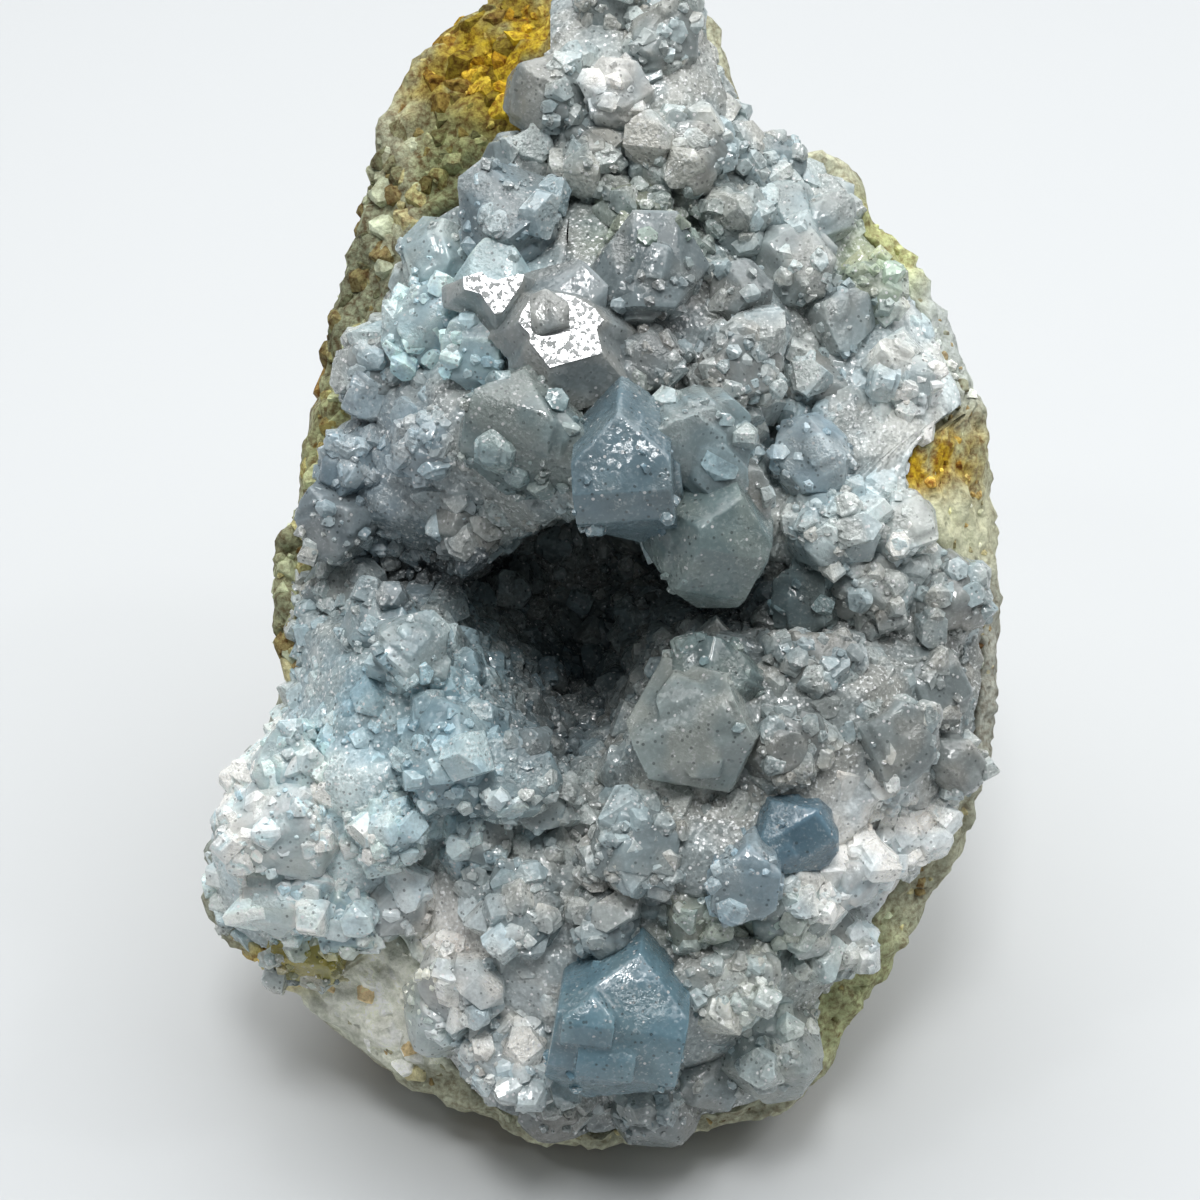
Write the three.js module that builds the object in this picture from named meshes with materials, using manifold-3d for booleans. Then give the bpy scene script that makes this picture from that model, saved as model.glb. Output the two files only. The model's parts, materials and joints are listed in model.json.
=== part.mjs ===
// A piece of a celestite geode: a rounded wall of pale rock whose open side is lined with a crust of
// blocky blue-grey crystals around a deep hollow. It rests on a small ground flat under its rounded back,
// so the crystal face leans back from upright.
//
// Two frames are used. The face frame has u to the right, w up the leaning face and n straight out of it,
// with its origin in the middle of the face. The part's frame has Z up and Y away from the viewer, and its
// origin is under the middle of the part's extent, on the surface that it rests on. All lengths are in mm.

import * as THREE from "three";
import { ConvexGeometry } from "three/addons/geometries/ConvexGeometry.js";
import { mergeVertices } from "three/addons/utils/BufferGeometryUtils.js";
import Module from "manifold-3d";

const wasm = await Module();
wasm.setup();

// Driving dimensions
const FACE_LEAN = THREE.MathUtils.degToRad(40); // the face leans back this far from upright
const FACE_CENTRE_HEIGHT = 49.5; // the middle of the face above the surface
const BODY_DEPTH = 48; // the wall's back behind the middle of the face
const BACK_POLE = new THREE.Vector2(0.5, -8); // the thickest place, on the face
const BACK_FULLNESS = 0.88; // lower makes the back boxier
const CRUST_THICKNESS = 3.2;
const GAP = 0.42; // clearance between the crust and the rock under it
const HOLLOW_DEPTH = 24;
const HOLLOW_CENTRE = new THREE.Vector2(-0.5, -3);
const HOLLOW_RISE = 6; // how far the hollow's end lies up the face from its mouth
const HOLLOW_SPREAD = 0.15; // how much wider the hollow is inside than at its mouth

// Mesh fineness
const WALL_SPOKES = 44;
const CRUST_SPOKES = 26;
const HOLLOW_RINGS = 3;
const FACE_RINGS = 4;
const ROCK_RINGS = 2;
const BACK_RINGS = 6;

// The wall's edge as seen square to the face, from the top and clockwise
const WALL_EDGE = [
  [2, 60], [7, 58.4], [10.2, 55], [11.6, 51], [12.6, 47.2], [15, 43.8], [24, 40.2], [25.6, 36],
  [28.3, 33.9], [30.7, 30.2], [32.6, 26.4], [34.4, 22.6], [35.8, 18.8], [36.4, 15], [36.3, 10],
  [36.9, 3.8], [37.2, -3.8], [37, -9.5], [36.5, -13.5], [35.9, -17.1], [34.9, -21], [31.3, -27.5],
  [27.5, -33.7], [22.8, -41.8], [19.2, -47.2], [17, -48.8], [9.5, -50.3], [3.8, -51.5], [-1, -52],
  [-6.6, -51], [-12.3, -48.4], [-17.1, -46], [-21.4, -43.2], [-28.5, -37], [-33.8, -33.2],
  [-36.8, -31.4], [-37.6, -28.6], [-36.8, -23], [-34, -17], [-31.7, -13.3], [-30, -9.5],
  [-28.6, -5.9], [-30.6, -3.4], [-30.8, 0], [-30.4, 5.4], [-28.4, 7.8], [-27.6, 13.4], [-26.2, 19],
  [-25.2, 23], [-25.4, 26.6], [-24, 30.6], [-22.2, 35.4], [-21.2, 40.8], [-21.2, 43.8],
  [-19.4, 47.6], [-17.2, 51.2], [-12.6, 55.2], [-8, 58.4], [-3, 60],
];

// The crust's edge, inside the wall's. Bare rock shows between the two at the upper left, down the left
// side, at the right and at both lower corners.
const CRUST_EDGE = [
  [1.8, 58.6], [6, 57.4], [9, 54.2], [10.4, 50.6], [11.5, 46.8], [14.2, 42.9], [22.8, 39.2],
  [24.4, 35], [26.8, 32.4], [29, 28.8], [30.8, 25], [32.8, 21], [34, 17.8], [30, 15.4], [28, 12],
  [28.4, 8.6], [31, 5.4], [34, 1], [35.9, -4], [35.6, -10.4], [34.6, -16.8], [31, -23], [26.4, -29],
  [23.4, -34.4], [18.8, -40], [16.6, -46.4], [10.8, -48.9], [4.4, -50.2], [-1, -50.7], [-6.2, -49.7],
  [-11.4, -47], [-15.6, -40.6], [-16.6, -34], [-19.8, -31], [-23.4, -33.6], [-28.6, -34.4],
  [-33, -32.2], [-36.2, -29.4], [-36, -23.6], [-33.2, -17.2], [-30.6, -12.9], [-28.8, -9],
  [-27.6, -5.4], [-28.6, -2], [-28.2, 2], [-26.2, 6], [-25.6, 9.6], [-24.2, 14], [-22, 19],
  [-21, 24.4], [-18.8, 30], [-16.6, 34.8], [-12.2, 37.2], [-9, 41.2], [-5.2, 45.4], [-4.2, 52],
  [-3.8, 57],
];

// The mouth of the hollow: an arm to the left, one to the right and one down
const HOLLOW_MOUTH = [
  [16.4, -0.6], [14, 1.8], [9.6, 2.8], [5.8, 4.6], [2.5, 7.2], [-1.7, 8.6], [-5.6, 7.1], [-9.6, 5],
  [-13.2, 2.6], [-15.2, -1.4], [-14.3, -5.6], [-10.7, -9.7], [-7.4, -13.1], [-4.4, -16.4],
  [-1, -17.6], [2.3, -15.6], [4.4, -11.5], [5.9, -7.9], [9.2, -5.7], [13.4, -4],
];

// Swells and dips of the crust: middle [u, w], half widths, turn in degrees, height
const SWELLS = [
  { name: "upper lobe", at: [0.5, 19], half: [22, 20], turn: 0, height: 9 },
  { name: "upper lip", at: [4.5, 9.5], half: [17, 9], turn: -8, height: 5 },
  { name: "left shoulder", at: [-17, 13], half: [9, 10], turn: 0, height: 3 },
  { name: "lower left lobe", at: [-15.5, -11], half: [15, 13], turn: -20, height: 8.5 },
  { name: "far left lobe", at: [-26.5, -22], half: [12, 11], turn: 0, height: 6 },
  { name: "lower right lobe", at: [14.5, -14], half: [21, 17], turn: 0, height: 8.5 },
  { name: "foot", at: [1.5, -31], half: [22, 16], turn: 0, height: 7 },
  { name: "right shelf", at: [26, 8], half: [11, 22], turn: 0, height: 4 },
  { name: "top knob", at: [2.5, 46], half: [12, 13], turn: 0, height: 3.5 },
  { name: "left cleft", at: [-20, 1.6], half: [12, 6.5], turn: -12, height: -5.5 },
  { name: "right valley", at: [16.5, 16], half: [4, 10], turn: -18, height: -5 },
  { name: "recess above the lobe", at: [2, 38], half: [7, 3.4], turn: -25, height: -4 },
  { name: "right arm's end", at: [19, -2], half: [12, 6], turn: -8, height: -4.5 },
  { name: "lower valley", at: [-0.5, -20], half: [5.5, 8], turn: 0, height: -4 },
  { name: "lower right pit", at: [26.5, -21], half: [4, 4], turn: 0, height: -3 },
];
const EDGE_FALL = 6; // the face curves back by this much at the wall's edge
const EDGE_FALL_POWER = 5;

// Named crystals: where each stands on the face, its radius and length, the way its axis leans on the face
// in degrees from +u, how far it leans from n, and its turn about its own axis
const NAMED_CRYSTALS = [
  { name: "big blue", at: [1.2, -37], radius: 6.4, length: 8.5, towards: -100, lean: 22, turn: 12 },
  { name: "mirror plate", at: [-3.4, 24.6], radius: 4.4, length: 5, towards: 90, lean: 14, turn: 30 },
  { name: "mirror wedge", at: [-9.6, 28], radius: 3.2, length: 4.5, towards: 90, lean: 14, turn: 75 },
  { name: "upper blade", at: [-7.8, 33.6], radius: 4.2, length: 6, towards: 120, lean: 30, turn: 100 },
  { name: "upper left block", at: [-14.6, 31.4], radius: 3.1, length: 4.5, towards: 160, lean: 25, turn: 10 },
  { name: "left blue group", at: [-15.2, 25.4], radius: 3.6, length: 5, towards: 190, lean: 18, turn: 50 },
  { name: "left blue group's foot", at: [-11, 22.6], radius: 2.8, length: 4, towards: 230, lean: 20, turn: 15 },
  { name: "grey dome", at: [-6, 14.6], radius: 5.2, length: 6, towards: 240, lean: 16, turn: 5 },
  { name: "blue slab", at: [2.2, 10.6], radius: 5.2, length: 7, towards: 265, lean: 34, turn: 40 },
  { name: "bright edged block", at: [8.4, 14.2], radius: 3.8, length: 6, towards: 300, lean: 20, turn: 62 },
  { name: "hanging block", at: [8.2, 5.8], radius: 5.4, length: 8, towards: 285, lean: 42, turn: 20 },
  { name: "small lip block", at: [11.8, 10.2], radius: 2.8, length: 4.5, towards: 300, lean: 30, turn: 33 },
  { name: "grey upper dome", at: [3.8, 28.8], radius: 4.4, length: 5, towards: 60, lean: 12, turn: 80 },
  { name: "upright blade", at: [12.4, 26.4], radius: 2.6, length: 5, towards: 90, lean: 30, turn: 90 },
  { name: "upper right block", at: [17.6, 30.6], radius: 3.3, length: 5, towards: 45, lean: 20, turn: 25 },
  { name: "right blue block", at: [21.8, 25.6], radius: 2.7, length: 4, towards: 20, lean: 22, turn: 70 },
  { name: "upper right slab", at: [17, 35.8], radius: 3, length: 3.6, towards: 60, lean: 14, turn: 5 },
  { name: "upper right corner", at: [21, 35.4], radius: 2.2, length: 3.4, towards: 40, lean: 16, turn: 50 },
  { name: "left jutting block", at: [-24, 8.2], radius: 3.2, length: 5, towards: 215, lean: 38, turn: 45 },
  { name: "left lower block", at: [-19.4, -3], radius: 3, length: 5, towards: 120, lean: 30, turn: 66 },
  { name: "cleft neighbour", at: [-14.4, -4.8], radius: 3.2, length: 5, towards: 60, lean: 30, turn: 22 },
  { name: "left lobe crown", at: [-13.4, -13.6], radius: 4.4, length: 5.5, towards: 200, lean: 12, turn: 37 },
  { name: "left lobe brow", at: [-6.4, -12], radius: 3.5, length: 5.5, towards: 30, lean: 26, turn: 85 },
  { name: "left lobe foot", at: [-6, -16], radius: 2.8, length: 4, towards: 330, lean: 22, turn: 55 },
  { name: "far left crown", at: [-28.6, -20.4], radius: 4.4, length: 5, towards: 170, lean: 12, turn: 18 },
  { name: "far left flank", at: [-27.4, -15.6], radius: 3.3, length: 4.6, towards: 150, lean: 16, turn: 72 },
  { name: "far left foot", at: [-28.6, -27], radius: 3.6, length: 4, towards: 220, lean: 12, turn: 8 },
  { name: "dull white block", at: [-18, -27.2], radius: 3, length: 4, towards: 200, lean: 14, turn: 48 },
  { name: "big pale pentagon", at: [8.8, -10.8], radius: 4.9, length: 6, towards: 190, lean: 12, turn: 28 },
  { name: "right lip block", at: [6, -5.4], radius: 3.1, length: 4.6, towards: 150, lean: 34, turn: 58 },
  { name: "right arm block", at: [20, 0.4], radius: 3.3, length: 5, towards: 190, lean: 26, turn: 5 },
  { name: "shelf's blue block", at: [19.6, 13], radius: 3.4, length: 4.4, towards: 160, lean: 16, turn: 36 },
  { name: "deep blue block", at: [16.8, -20.6], radius: 3.4, length: 4.5, towards: 300, lean: 14, turn: 44 },
  { name: "blue-grey block", at: [12.8, -24], radius: 3.2, length: 4.4, towards: 260, lean: 18, turn: 12 },
  { name: "pale lower block", at: [22, -24.2], radius: 3.2, length: 4.2, towards: 320, lean: 20, turn: 61 },
  { name: "whitish lower dome", at: [20.6, -31], radius: 3.5, length: 4.5, towards: 300, lean: 26, turn: 24 },
  { name: "grey right block", at: [26, -12.8], radius: 3.4, length: 4.6, towards: 350, lean: 20, turn: 77 },
  { name: "right edge block", at: [30.4, -8], radius: 3.2, length: 4.2, towards: 0, lean: 26, turn: 30 },
  { name: "right edge foot", at: [32.2, -15], radius: 2.6, length: 3.8, towards: 340, lean: 30, turn: 50 },
  { name: "grey foot ball", at: [10, -44.6], radius: 2.8, length: 3.6, towards: 280, lean: 36, turn: 15 },
  { name: "top crest", at: [5.8, 51.6], radius: 3.2, length: 4, towards: 60, lean: 18, turn: 40 },
  { name: "top white block", at: [1.4, 46], radius: 2.8, length: 4, towards: 120, lean: 18, turn: 65 },
];

// Crystals that fill the crust between the named ones
const FILL_SPACING = 8;
const FILL_RADIUS = [2.8, 4];
const FILL_LEAN = THREE.MathUtils.degToRad(30);
const FILL_EDGE_MARGIN = 0.5;
const HOLLOW_FILL = 12;
const HOLLOW_FILL_RADIUS = [1.5, 2.1];
const BURIED = 1.4; // how deep a crystal's root lies under the crust's surface
const EDGE_SHARE = 0.7; // the share of a crystal's radius that it keeps clear of the crust's edge
const MOUTH_SHARE = 0.8; // and of the hollow's mouth
const RANDOM_SEED = 20413;

// Celestine is orthorhombic: the lengths of its cell, from which the slopes of its faces follow
const CELL = { a: 8.359, b: 5.352, c: 6.866 };
const FORM_SPREAD = 0.14; // how unevenly the faces of one crystal have grown

// A repeatable stream of numbers from 0 to 1
function randomStream(seed) {
  let state = seed >>> 0;
  return () => {
    state = (Math.imul(state, 1664525) + 1013904223) >>> 0;
    return state / 4294967296;
  };
}

// The distance from centre to a closed outline, as a function of the angle on the face
function outlineRadius(points, centre) {
  const curve = new THREE.CatmullRomCurve3(
    points.map(([u, w]) => new THREE.Vector3(u - centre.x, w - centre.y, 0)),
    true,
    "centripetal",
  );
  const polar = curve
    .getPoints(points.length * 8)
    .map((p) => ({ angle: Math.atan2(p.y, p.x), radius: Math.hypot(p.x, p.y) }))
    .sort((p, q) => p.angle - q.angle);
  return (angle) => {
    const wrapped = Math.atan2(Math.sin(angle), Math.cos(angle));
    let i = polar.findIndex((p) => p.angle > wrapped);
    if (i < 0) i = 0;
    const after = polar[i];
    const before = polar[(i + polar.length - 1) % polar.length];
    let span = after.angle - before.angle;
    let along = wrapped - before.angle;
    if (span <= 0) span += 2 * Math.PI;
    if (along < 0) along += 2 * Math.PI;
    return THREE.MathUtils.lerp(before.radius, after.radius, Math.min(1, along / Math.max(span, 1e-9)));
  };
}

const wallRadius = outlineRadius(WALL_EDGE, HOLLOW_CENTRE);
const crustRadius = outlineRadius(CRUST_EDGE, HOLLOW_CENTRE);
const mouthRadius = outlineRadius(HOLLOW_MOUTH, HOLLOW_CENTRE);

// Height of the crust's surface over the face plane, the hollow left out
function relief(u, w) {
  let height = 0;
  for (const { at, half, turn, height: rise } of SWELLS) {
    const angle = THREE.MathUtils.degToRad(turn);
    const du = u - at[0];
    const dw = w - at[1];
    const x = (du * Math.cos(angle) + dw * Math.sin(angle)) / half[0];
    const y = (dw * Math.cos(angle) - du * Math.sin(angle)) / half[1];
    const inside = 1 - x * x - y * y;
    if (inside > 0) height += rise * inside * inside * (3 - 2 * inside);
  }
  const du = u - HOLLOW_CENTRE.x;
  const dw = w - HOLLOW_CENTRE.y;
  const share = Math.hypot(du, dw) / wallRadius(Math.atan2(dw, du));
  return height - EDGE_FALL * Math.pow(Math.min(share, 1.1), EDGE_FALL_POWER);
}

// A point on the open face at an angle and a distance from the hollow's middle, sunk below the surface
function facePoint(angle, radius, sunk) {
  const u = HOLLOW_CENTRE.x + radius * Math.cos(angle);
  const w = HOLLOW_CENTRE.y + radius * Math.sin(angle);
  return new THREE.Vector3(u, w, relief(u, w) - sunk);
}

// A point on the hollow's wall: share is 1 at the mouth and 0 at its far end
function hollowPoint(angle, share, skin) {
  const mouth = mouthRadius(angle) + skin;
  const rim = facePoint(angle, mouth, skin);
  const depth = Math.pow(1 - Math.pow(share, 3), 0.7);
  const spread = 1 + HOLLOW_SPREAD * Math.sin(Math.PI * Math.min(1, depth * 1.15));
  const radius = mouth * Math.pow(share, 0.8) * spread;
  return new THREE.Vector3(
    HOLLOW_CENTRE.x + radius * Math.cos(angle),
    HOLLOW_CENTRE.y + radius * Math.sin(angle) + HOLLOW_RISE * depth,
    rim.z * (1 - depth) - (HOLLOW_DEPTH + skin) * depth,
  );
}

// Low swells that keep the ground back from being a perfect egg
function backSwell(angle, share) {
  const fade = Math.sin(Math.PI * share);
  return fade * (0.9 * Math.sin(3 * angle + 1.1) + 0.7 * Math.sin(5 * angle + 4 * share) + 0.5 * Math.sin(8 * angle));
}

// The wall's edge with its notches ground away, as the back has it
function groundRadius(angle) {
  const offsets = [-0.54, -0.36, -0.18, 0, 0.18, 0.36, 0.54];
  return offsets.reduce((sum, offset) => sum + wallRadius(angle + offset), 0) / offsets.length;
}

// A point on the rounded back: share is 0 at the wall's edge and 1 at the pole
function backPoint(angle, share, swell) {
  const slope = (share * Math.PI) / 2;
  const radius = THREE.MathUtils.lerp(wallRadius(angle), groundRadius(angle), Math.min(1, 2 * share));
  const edge = facePoint(angle, radius + swell, 0);
  const scale = Math.pow(Math.cos(slope), BACK_FULLNESS);
  const out = 1 + (0.035 * Math.sin(Math.PI * Math.min(1, share * 3))) + backSwell(angle, share) / 40;
  const centre = HOLLOW_CENTRE.clone().lerp(BACK_POLE, Math.sin(slope));
  return new THREE.Vector3(
    centre.x + (edge.x - HOLLOW_CENTRE.x) * scale * out,
    centre.y + (edge.y - HOLLOW_CENTRE.y) * scale * out,
    edge.z * (1 - share) - BODY_DEPTH * Math.pow(Math.sin(slope), 1.1),
  );
}

// Rings of points as one closed geometry, the first and last rings drawn together to a point
function closedRings(rings) {
  const positions = [];
  const triangles = [];
  const middle = (ring) => ring.reduce((sum, p) => sum.add(p), new THREE.Vector3()).divideScalar(ring.length);
  rings.forEach((ring) => ring.forEach((p) => positions.push(p.x, p.y, p.z)));
  const count = rings[0].length;
  for (let i = 0; i + 1 < rings.length; i++) {
    for (let k = 0; k < count; k++) {
      const next = (k + 1) % count;
      const [a, b, c, d] = [i * count + k, i * count + next, (i + 1) * count + next, (i + 1) * count + k];
      triangles.push(a, c, b, a, d, c);
    }
  }
  const caps = [
    [rings[0], 0, true],
    [rings.at(-1), (rings.length - 1) * count, false],
  ];
  for (const [ring, first, starts] of caps) {
    const tip = positions.length / 3;
    const p = middle(ring);
    positions.push(p.x, p.y, p.z);
    for (let k = 0; k < count; k++) {
      const here = first + k;
      const next = first + ((k + 1) % count);
      triangles.push(...(starts ? [tip, here, next] : [tip, next, here]));
    }
  }
  return new THREE.BufferGeometry()
    .setAttribute("position", new THREE.Float32BufferAttribute(positions, 3))
    .setIndex(triangles);
}

// A closed geometry as a solid that can be joined and cut
function solidOf(geometry) {
  const bare = new THREE.BufferGeometry().setAttribute("position", geometry.getAttribute("position"));
  if (geometry.index) bare.setIndex(geometry.index);
  const merged = mergeVertices(bare, 1e-4);
  const mesh = new wasm.Mesh({
    numProp: 3,
    vertProperties: new Float32Array(merged.attributes.position.array),
    triVerts: new Uint32Array(merged.index.array),
  });
  return new wasm.Manifold(mesh);
}

function geometryOf(solid) {
  const mesh = solid.getMesh();
  return new THREE.BufferGeometry()
    .setAttribute("position", new THREE.BufferAttribute(new Float32Array(mesh.vertProperties), 3))
    .setIndex(new THREE.BufferAttribute(new Uint32Array(mesh.triVerts), 1));
}

// The biggest body of a solid: cutting can leave a splinter beside it
function mainBody(solid) {
  return solid.decompose().reduce((best, body) => (body.volume() > best.volume() ? body : best));
}

function ringOf(spokes, pointAt) {
  return Array.from({ length: spokes }, (_, k) => pointAt((2 * Math.PI * k) / spokes));
}

function steps(count, from, to) {
  return Array.from({ length: count }, (_, i) => from + ((to - from) * (i + 1)) / count);
}

// Rings from the hollow's far end out to the crust's edge, at a depth under the crust's surface. The last
// ring may lie a little outside the crust's edge.
function linedRings(spokes, skin, outside) {
  const hollow = steps(HOLLOW_RINGS, 0, 1).map((share) =>
    ringOf(spokes, (angle) => hollowPoint(angle, share, skin)),
  );
  const face = steps(FACE_RINGS, 0, 1).map((share) =>
    ringOf(spokes, (angle) => {
      const inner = mouthRadius(angle) + CRUST_THICKNESS;
      const at = THREE.MathUtils.lerp(inner, crustRadius(angle), share);
      return facePoint(angle, share < 1 ? at : at + outside, skin);
    }),
  );
  return [...hollow, ...face];
}

// The rock wall: its rounded back, its bare edge, and the bed that the crust lies in. With a swell it is the
// same rock grown outwards by that much.
function rockWall(swell) {
  const random = randomStream(RANDOM_SEED + 1);
  const bed = linedRings(WALL_SPOKES, CRUST_THICKNESS - swell, swell ? -swell : 0);
  const bare = steps(ROCK_RINGS, -0.5, 1).map((share) =>
    ringOf(WALL_SPOKES, (angle) => {
      const inner = crustRadius(angle) + 0.2 - swell;
      const at = THREE.MathUtils.lerp(inner, wallRadius(angle) + swell, Math.max(share, 0.04));
      return facePoint(angle, at, (share < 1 ? 0.2 + 0.9 * random() : 0.6) - swell);
    }),
  );
  const back = steps(BACK_RINGS, 0, 1).map((share) =>
    ringOf(WALL_SPOKES, (angle) => backPoint(angle, share * 0.97, swell)),
  );
  return solidOf(closedRings([...bed, ...bare, ...back]));
}

// Corners of the convex body that a set of planes encloses
function cornersOf(planes) {
  const corners = [];
  const cross = new THREE.Vector3();
  for (let i = 0; i < planes.length; i++) {
    for (let j = i + 1; j < planes.length; j++) {
      cross.crossVectors(planes[i].normal, planes[j].normal);
      if (cross.lengthSq() < 1e-6) continue;
      for (let k = j + 1; k < planes.length; k++) {
        const [p, q, r] = [planes[i], planes[j], planes[k]];
        const volume = cross.dot(r.normal);
        if (Math.abs(volume) < 1e-6) continue;
        const corner = new THREE.Vector3()
          .addScaledVector(new THREE.Vector3().crossVectors(q.normal, r.normal), p.distance)
          .addScaledVector(new THREE.Vector3().crossVectors(r.normal, p.normal), q.distance)
          .addScaledVector(cross, r.distance)
          .divideScalar(volume);
        if (planes.every((plane) => plane.normal.dot(corner) <= plane.distance + 1e-6)) corners.push(corner);
      }
    }
  }
  return corners;
}

// One crystal, its axis along +X: a prism of four {011} faces, flattened by {001}, under a chisel of {210}
// and {102} faces that {100} may cut off square. Its root is cut along the surface that it grows on, whose
// normal is given in the crystal's own frame.
function crystalCorners(radius, length, ground, random) {
  const uneven = () => 1 + FORM_SPREAD * (2 * random() - 1);
  const planes = [{ normal: ground.clone().negate(), distance: BURIED }];
  const form = (h, k, l, distance) => {
    const signs = (index) => (index ? [1, -1] : [0]);
    for (const sk of signs(k)) {
      for (const sl of signs(l)) {
        const normal = new THREE.Vector3(h / CELL.a, (sk * k) / CELL.b, (sl * l) / CELL.c).normalize();
        planes.push({ normal, distance: distance * uneven() });
      }
    }
  };
  const blunt = 0.62 + 0.3 * random();
  form(0, 1, 1, radius);
  form(0, 0, 1, radius * (0.85 + 0.35 * random()));
  form(2, 1, 0, length * blunt + radius * 0.2);
  if (random() < 0.4) form(1, 0, 2, radius * 0.72 + length * 0.3);
  form(1, 0, 0, length * (0.8 + 0.2 * random()));
  return cornersOf(planes);
}

// The direction along the face at an angle from +u, leaning from the surface's normal
function leaningAxis(normal, towards, lean) {
  const along = new THREE.Vector3(Math.cos(towards), Math.sin(towards), 0);
  along.addScaledVector(normal, -along.dot(normal)).normalize();
  return normal.clone().multiplyScalar(Math.cos(lean)).addScaledVector(along, Math.sin(lean));
}

// A crystal as a solid standing on a point of the face
function crystalSolid({ root, normal, axis, radius, length, turn }, random) {
  const stand = new THREE.Quaternion().setFromUnitVectors(new THREE.Vector3(1, 0, 0), axis);
  const spin = new THREE.Quaternion().setFromAxisAngle(new THREE.Vector3(1, 0, 0), turn);
  const turned = stand.multiply(spin);
  const ground = normal.clone().applyQuaternion(turned.clone().invert());
  const corners = crystalCorners(radius, length, ground, random).map((corner) =>
    corner.applyQuaternion(turned).add(root),
  );
  return solidOf(new ConvexGeometry(corners));
}

function faceNormal(u, w) {
  const step = 0.5;
  const du = (relief(u + step, w) - relief(u - step, w)) / (2 * step);
  const dw = (relief(u, w + step) - relief(u, w - step)) / (2 * step);
  return new THREE.Vector3(-du, -dw, 1).normalize();
}

// A point on the crust where a crystal of this radius stands clear of the edge and of the hollow's mouth
function standingPoint(u, w, radius) {
  const angle = Math.atan2(w - HOLLOW_CENTRE.y, u - HOLLOW_CENTRE.x);
  const nearest = mouthRadius(angle) + radius * MOUTH_SHARE;
  const farthest = crustRadius(angle) - radius * EDGE_SHARE;
  const out = Math.hypot(u - HOLLOW_CENTRE.x, w - HOLLOW_CENTRE.y);
  return facePoint(angle, Math.max(Math.min(out, farthest), nearest), 0);
}

function namedCrystals() {
  return NAMED_CRYSTALS.map(({ at, radius, length, towards, lean, turn }) => {
    const rad = THREE.MathUtils.degToRad;
    const root = standingPoint(at[0], at[1], radius);
    const normal = faceNormal(root.x, root.y);
    const axis = leaningAxis(new THREE.Vector3(0, 0, 1), rad(towards), rad(lean));
    return { root, normal, axis, radius, length, turn: rad(turn) };
  });
}

// Crystals on a staggered grid over the open face, where no named one stands
function fillCrystals(named, random) {
  const found = [];
  const rowStep = (FILL_SPACING * Math.sqrt(3)) / 2;
  for (let row = -9; row <= 9; row++) {
    for (let column = -6; column <= 6; column++) {
      const u = (column + (row % 2 ? 0.5 : 0)) * FILL_SPACING + (random() - 0.5) * 2;
      const w = row * rowStep + (random() - 0.5) * 2;
      const radius = THREE.MathUtils.lerp(...FILL_RADIUS, random());
      const [towards, lean, turn] = [random() * 2 * Math.PI, random() * FILL_LEAN, random() * Math.PI];
      const [du, dw] = [u - HOLLOW_CENTRE.x, w - HOLLOW_CENTRE.y];
      const angle = Math.atan2(dw, du);
      const out = Math.hypot(du, dw);
      if (out > crustRadius(angle) + FILL_EDGE_MARGIN || out < mouthRadius(angle)) continue;
      const root = standingPoint(u, w, radius);
      if (named.some((c) => Math.hypot(c.root.x - root.x, c.root.y - root.y) < c.radius + 0.3 * radius)) continue;
      const normal = faceNormal(root.x, root.y);
      const axis = leaningAxis(normal, towards, lean);
      found.push({ root, normal, axis, radius, length: radius * 1.1, turn });
    }
  }
  return found;
}

// Crystals on the hollow's wall, pointing into it
function hollowCrystals(random) {
  const found = [];
  for (let i = 0; i < HOLLOW_FILL; i++) {
    const angle = (i * 2.399963) % (2 * Math.PI);
    const share = Math.sqrt((i + 0.5) / HOLLOW_FILL) * 0.92;
    const root = hollowPoint(angle, share, 0);
    const alongAngle = hollowPoint(angle + 0.02, share, 0).sub(root);
    const alongShare = hollowPoint(angle, share + 0.02, 0).sub(root);
    const normal = new THREE.Vector3().crossVectors(alongShare, alongAngle).normalize();
    const radius = THREE.MathUtils.lerp(...HOLLOW_FILL_RADIUS, random());
    found.push({ root, normal, axis: normal, radius, length: radius * 1.1, turn: random() * Math.PI });
  }
  return found;
}

// The crust: a skin over the face and the hollow, with every crystal grown together with it
function crystalCrust(bed) {
  const random = randomStream(RANDOM_SEED);
  const front = linedRings(CRUST_SPOKES, 0, -0.4);
  const root = front.at(-1).map((p) => new THREE.Vector3(p.x * 0.8, p.y * 0.8, -HOLLOW_DEPTH * 1.4));
  const skin = solidOf(closedRings([...front, root]));
  const named = namedCrystals();
  const all = [...named, ...fillCrystals(named, random), ...hollowCrystals(random)];
  const crystals = all.map((crystal) => crystalSolid(crystal, random));
  return mainBody(wasm.Manifold.union([skin, ...crystals]).subtract(bed));
}

// A block that takes away what would lie below the surface that the piece rests on
function belowSurface(toFace) {
  const size = 300;
  const block = new THREE.BoxGeometry(size, size, size);
  block.translate(0, 0, -size / 2);
  block.applyMatrix4(toFace);
  return solidOf(block);
}

function material(color, roughness) {
  return new THREE.MeshStandardMaterial({ color, roughness, metalness: 0 });
}

const facing = new THREE.Group();
facing.rotation.x = Math.PI / 2 - FACE_LEAN;
facing.position.z = FACE_CENTRE_HEIGHT;
facing.updateMatrixWorld(true);

const wall = rockWall(0).subtract(belowSurface(facing.matrixWorld.clone().invert()));
const geodeWall = new THREE.Mesh(geometryOf(mainBody(wall)), material(0xb9bba6, 0.8));
geodeWall.name = "geode_wall";

const crust = new THREE.Mesh(geometryOf(crystalCrust(rockWall(GAP))), material(0x9fb0ba, 0.25));
crust.name = "crystal_crust";

facing.add(geodeWall, crust);
const piece = new THREE.Group();
piece.add(facing);
const middle = new THREE.Box3().setFromObject(piece, true).getCenter(new THREE.Vector3());
piece.position.set(-middle.x, -middle.y, 0);

export default piece;
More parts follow.
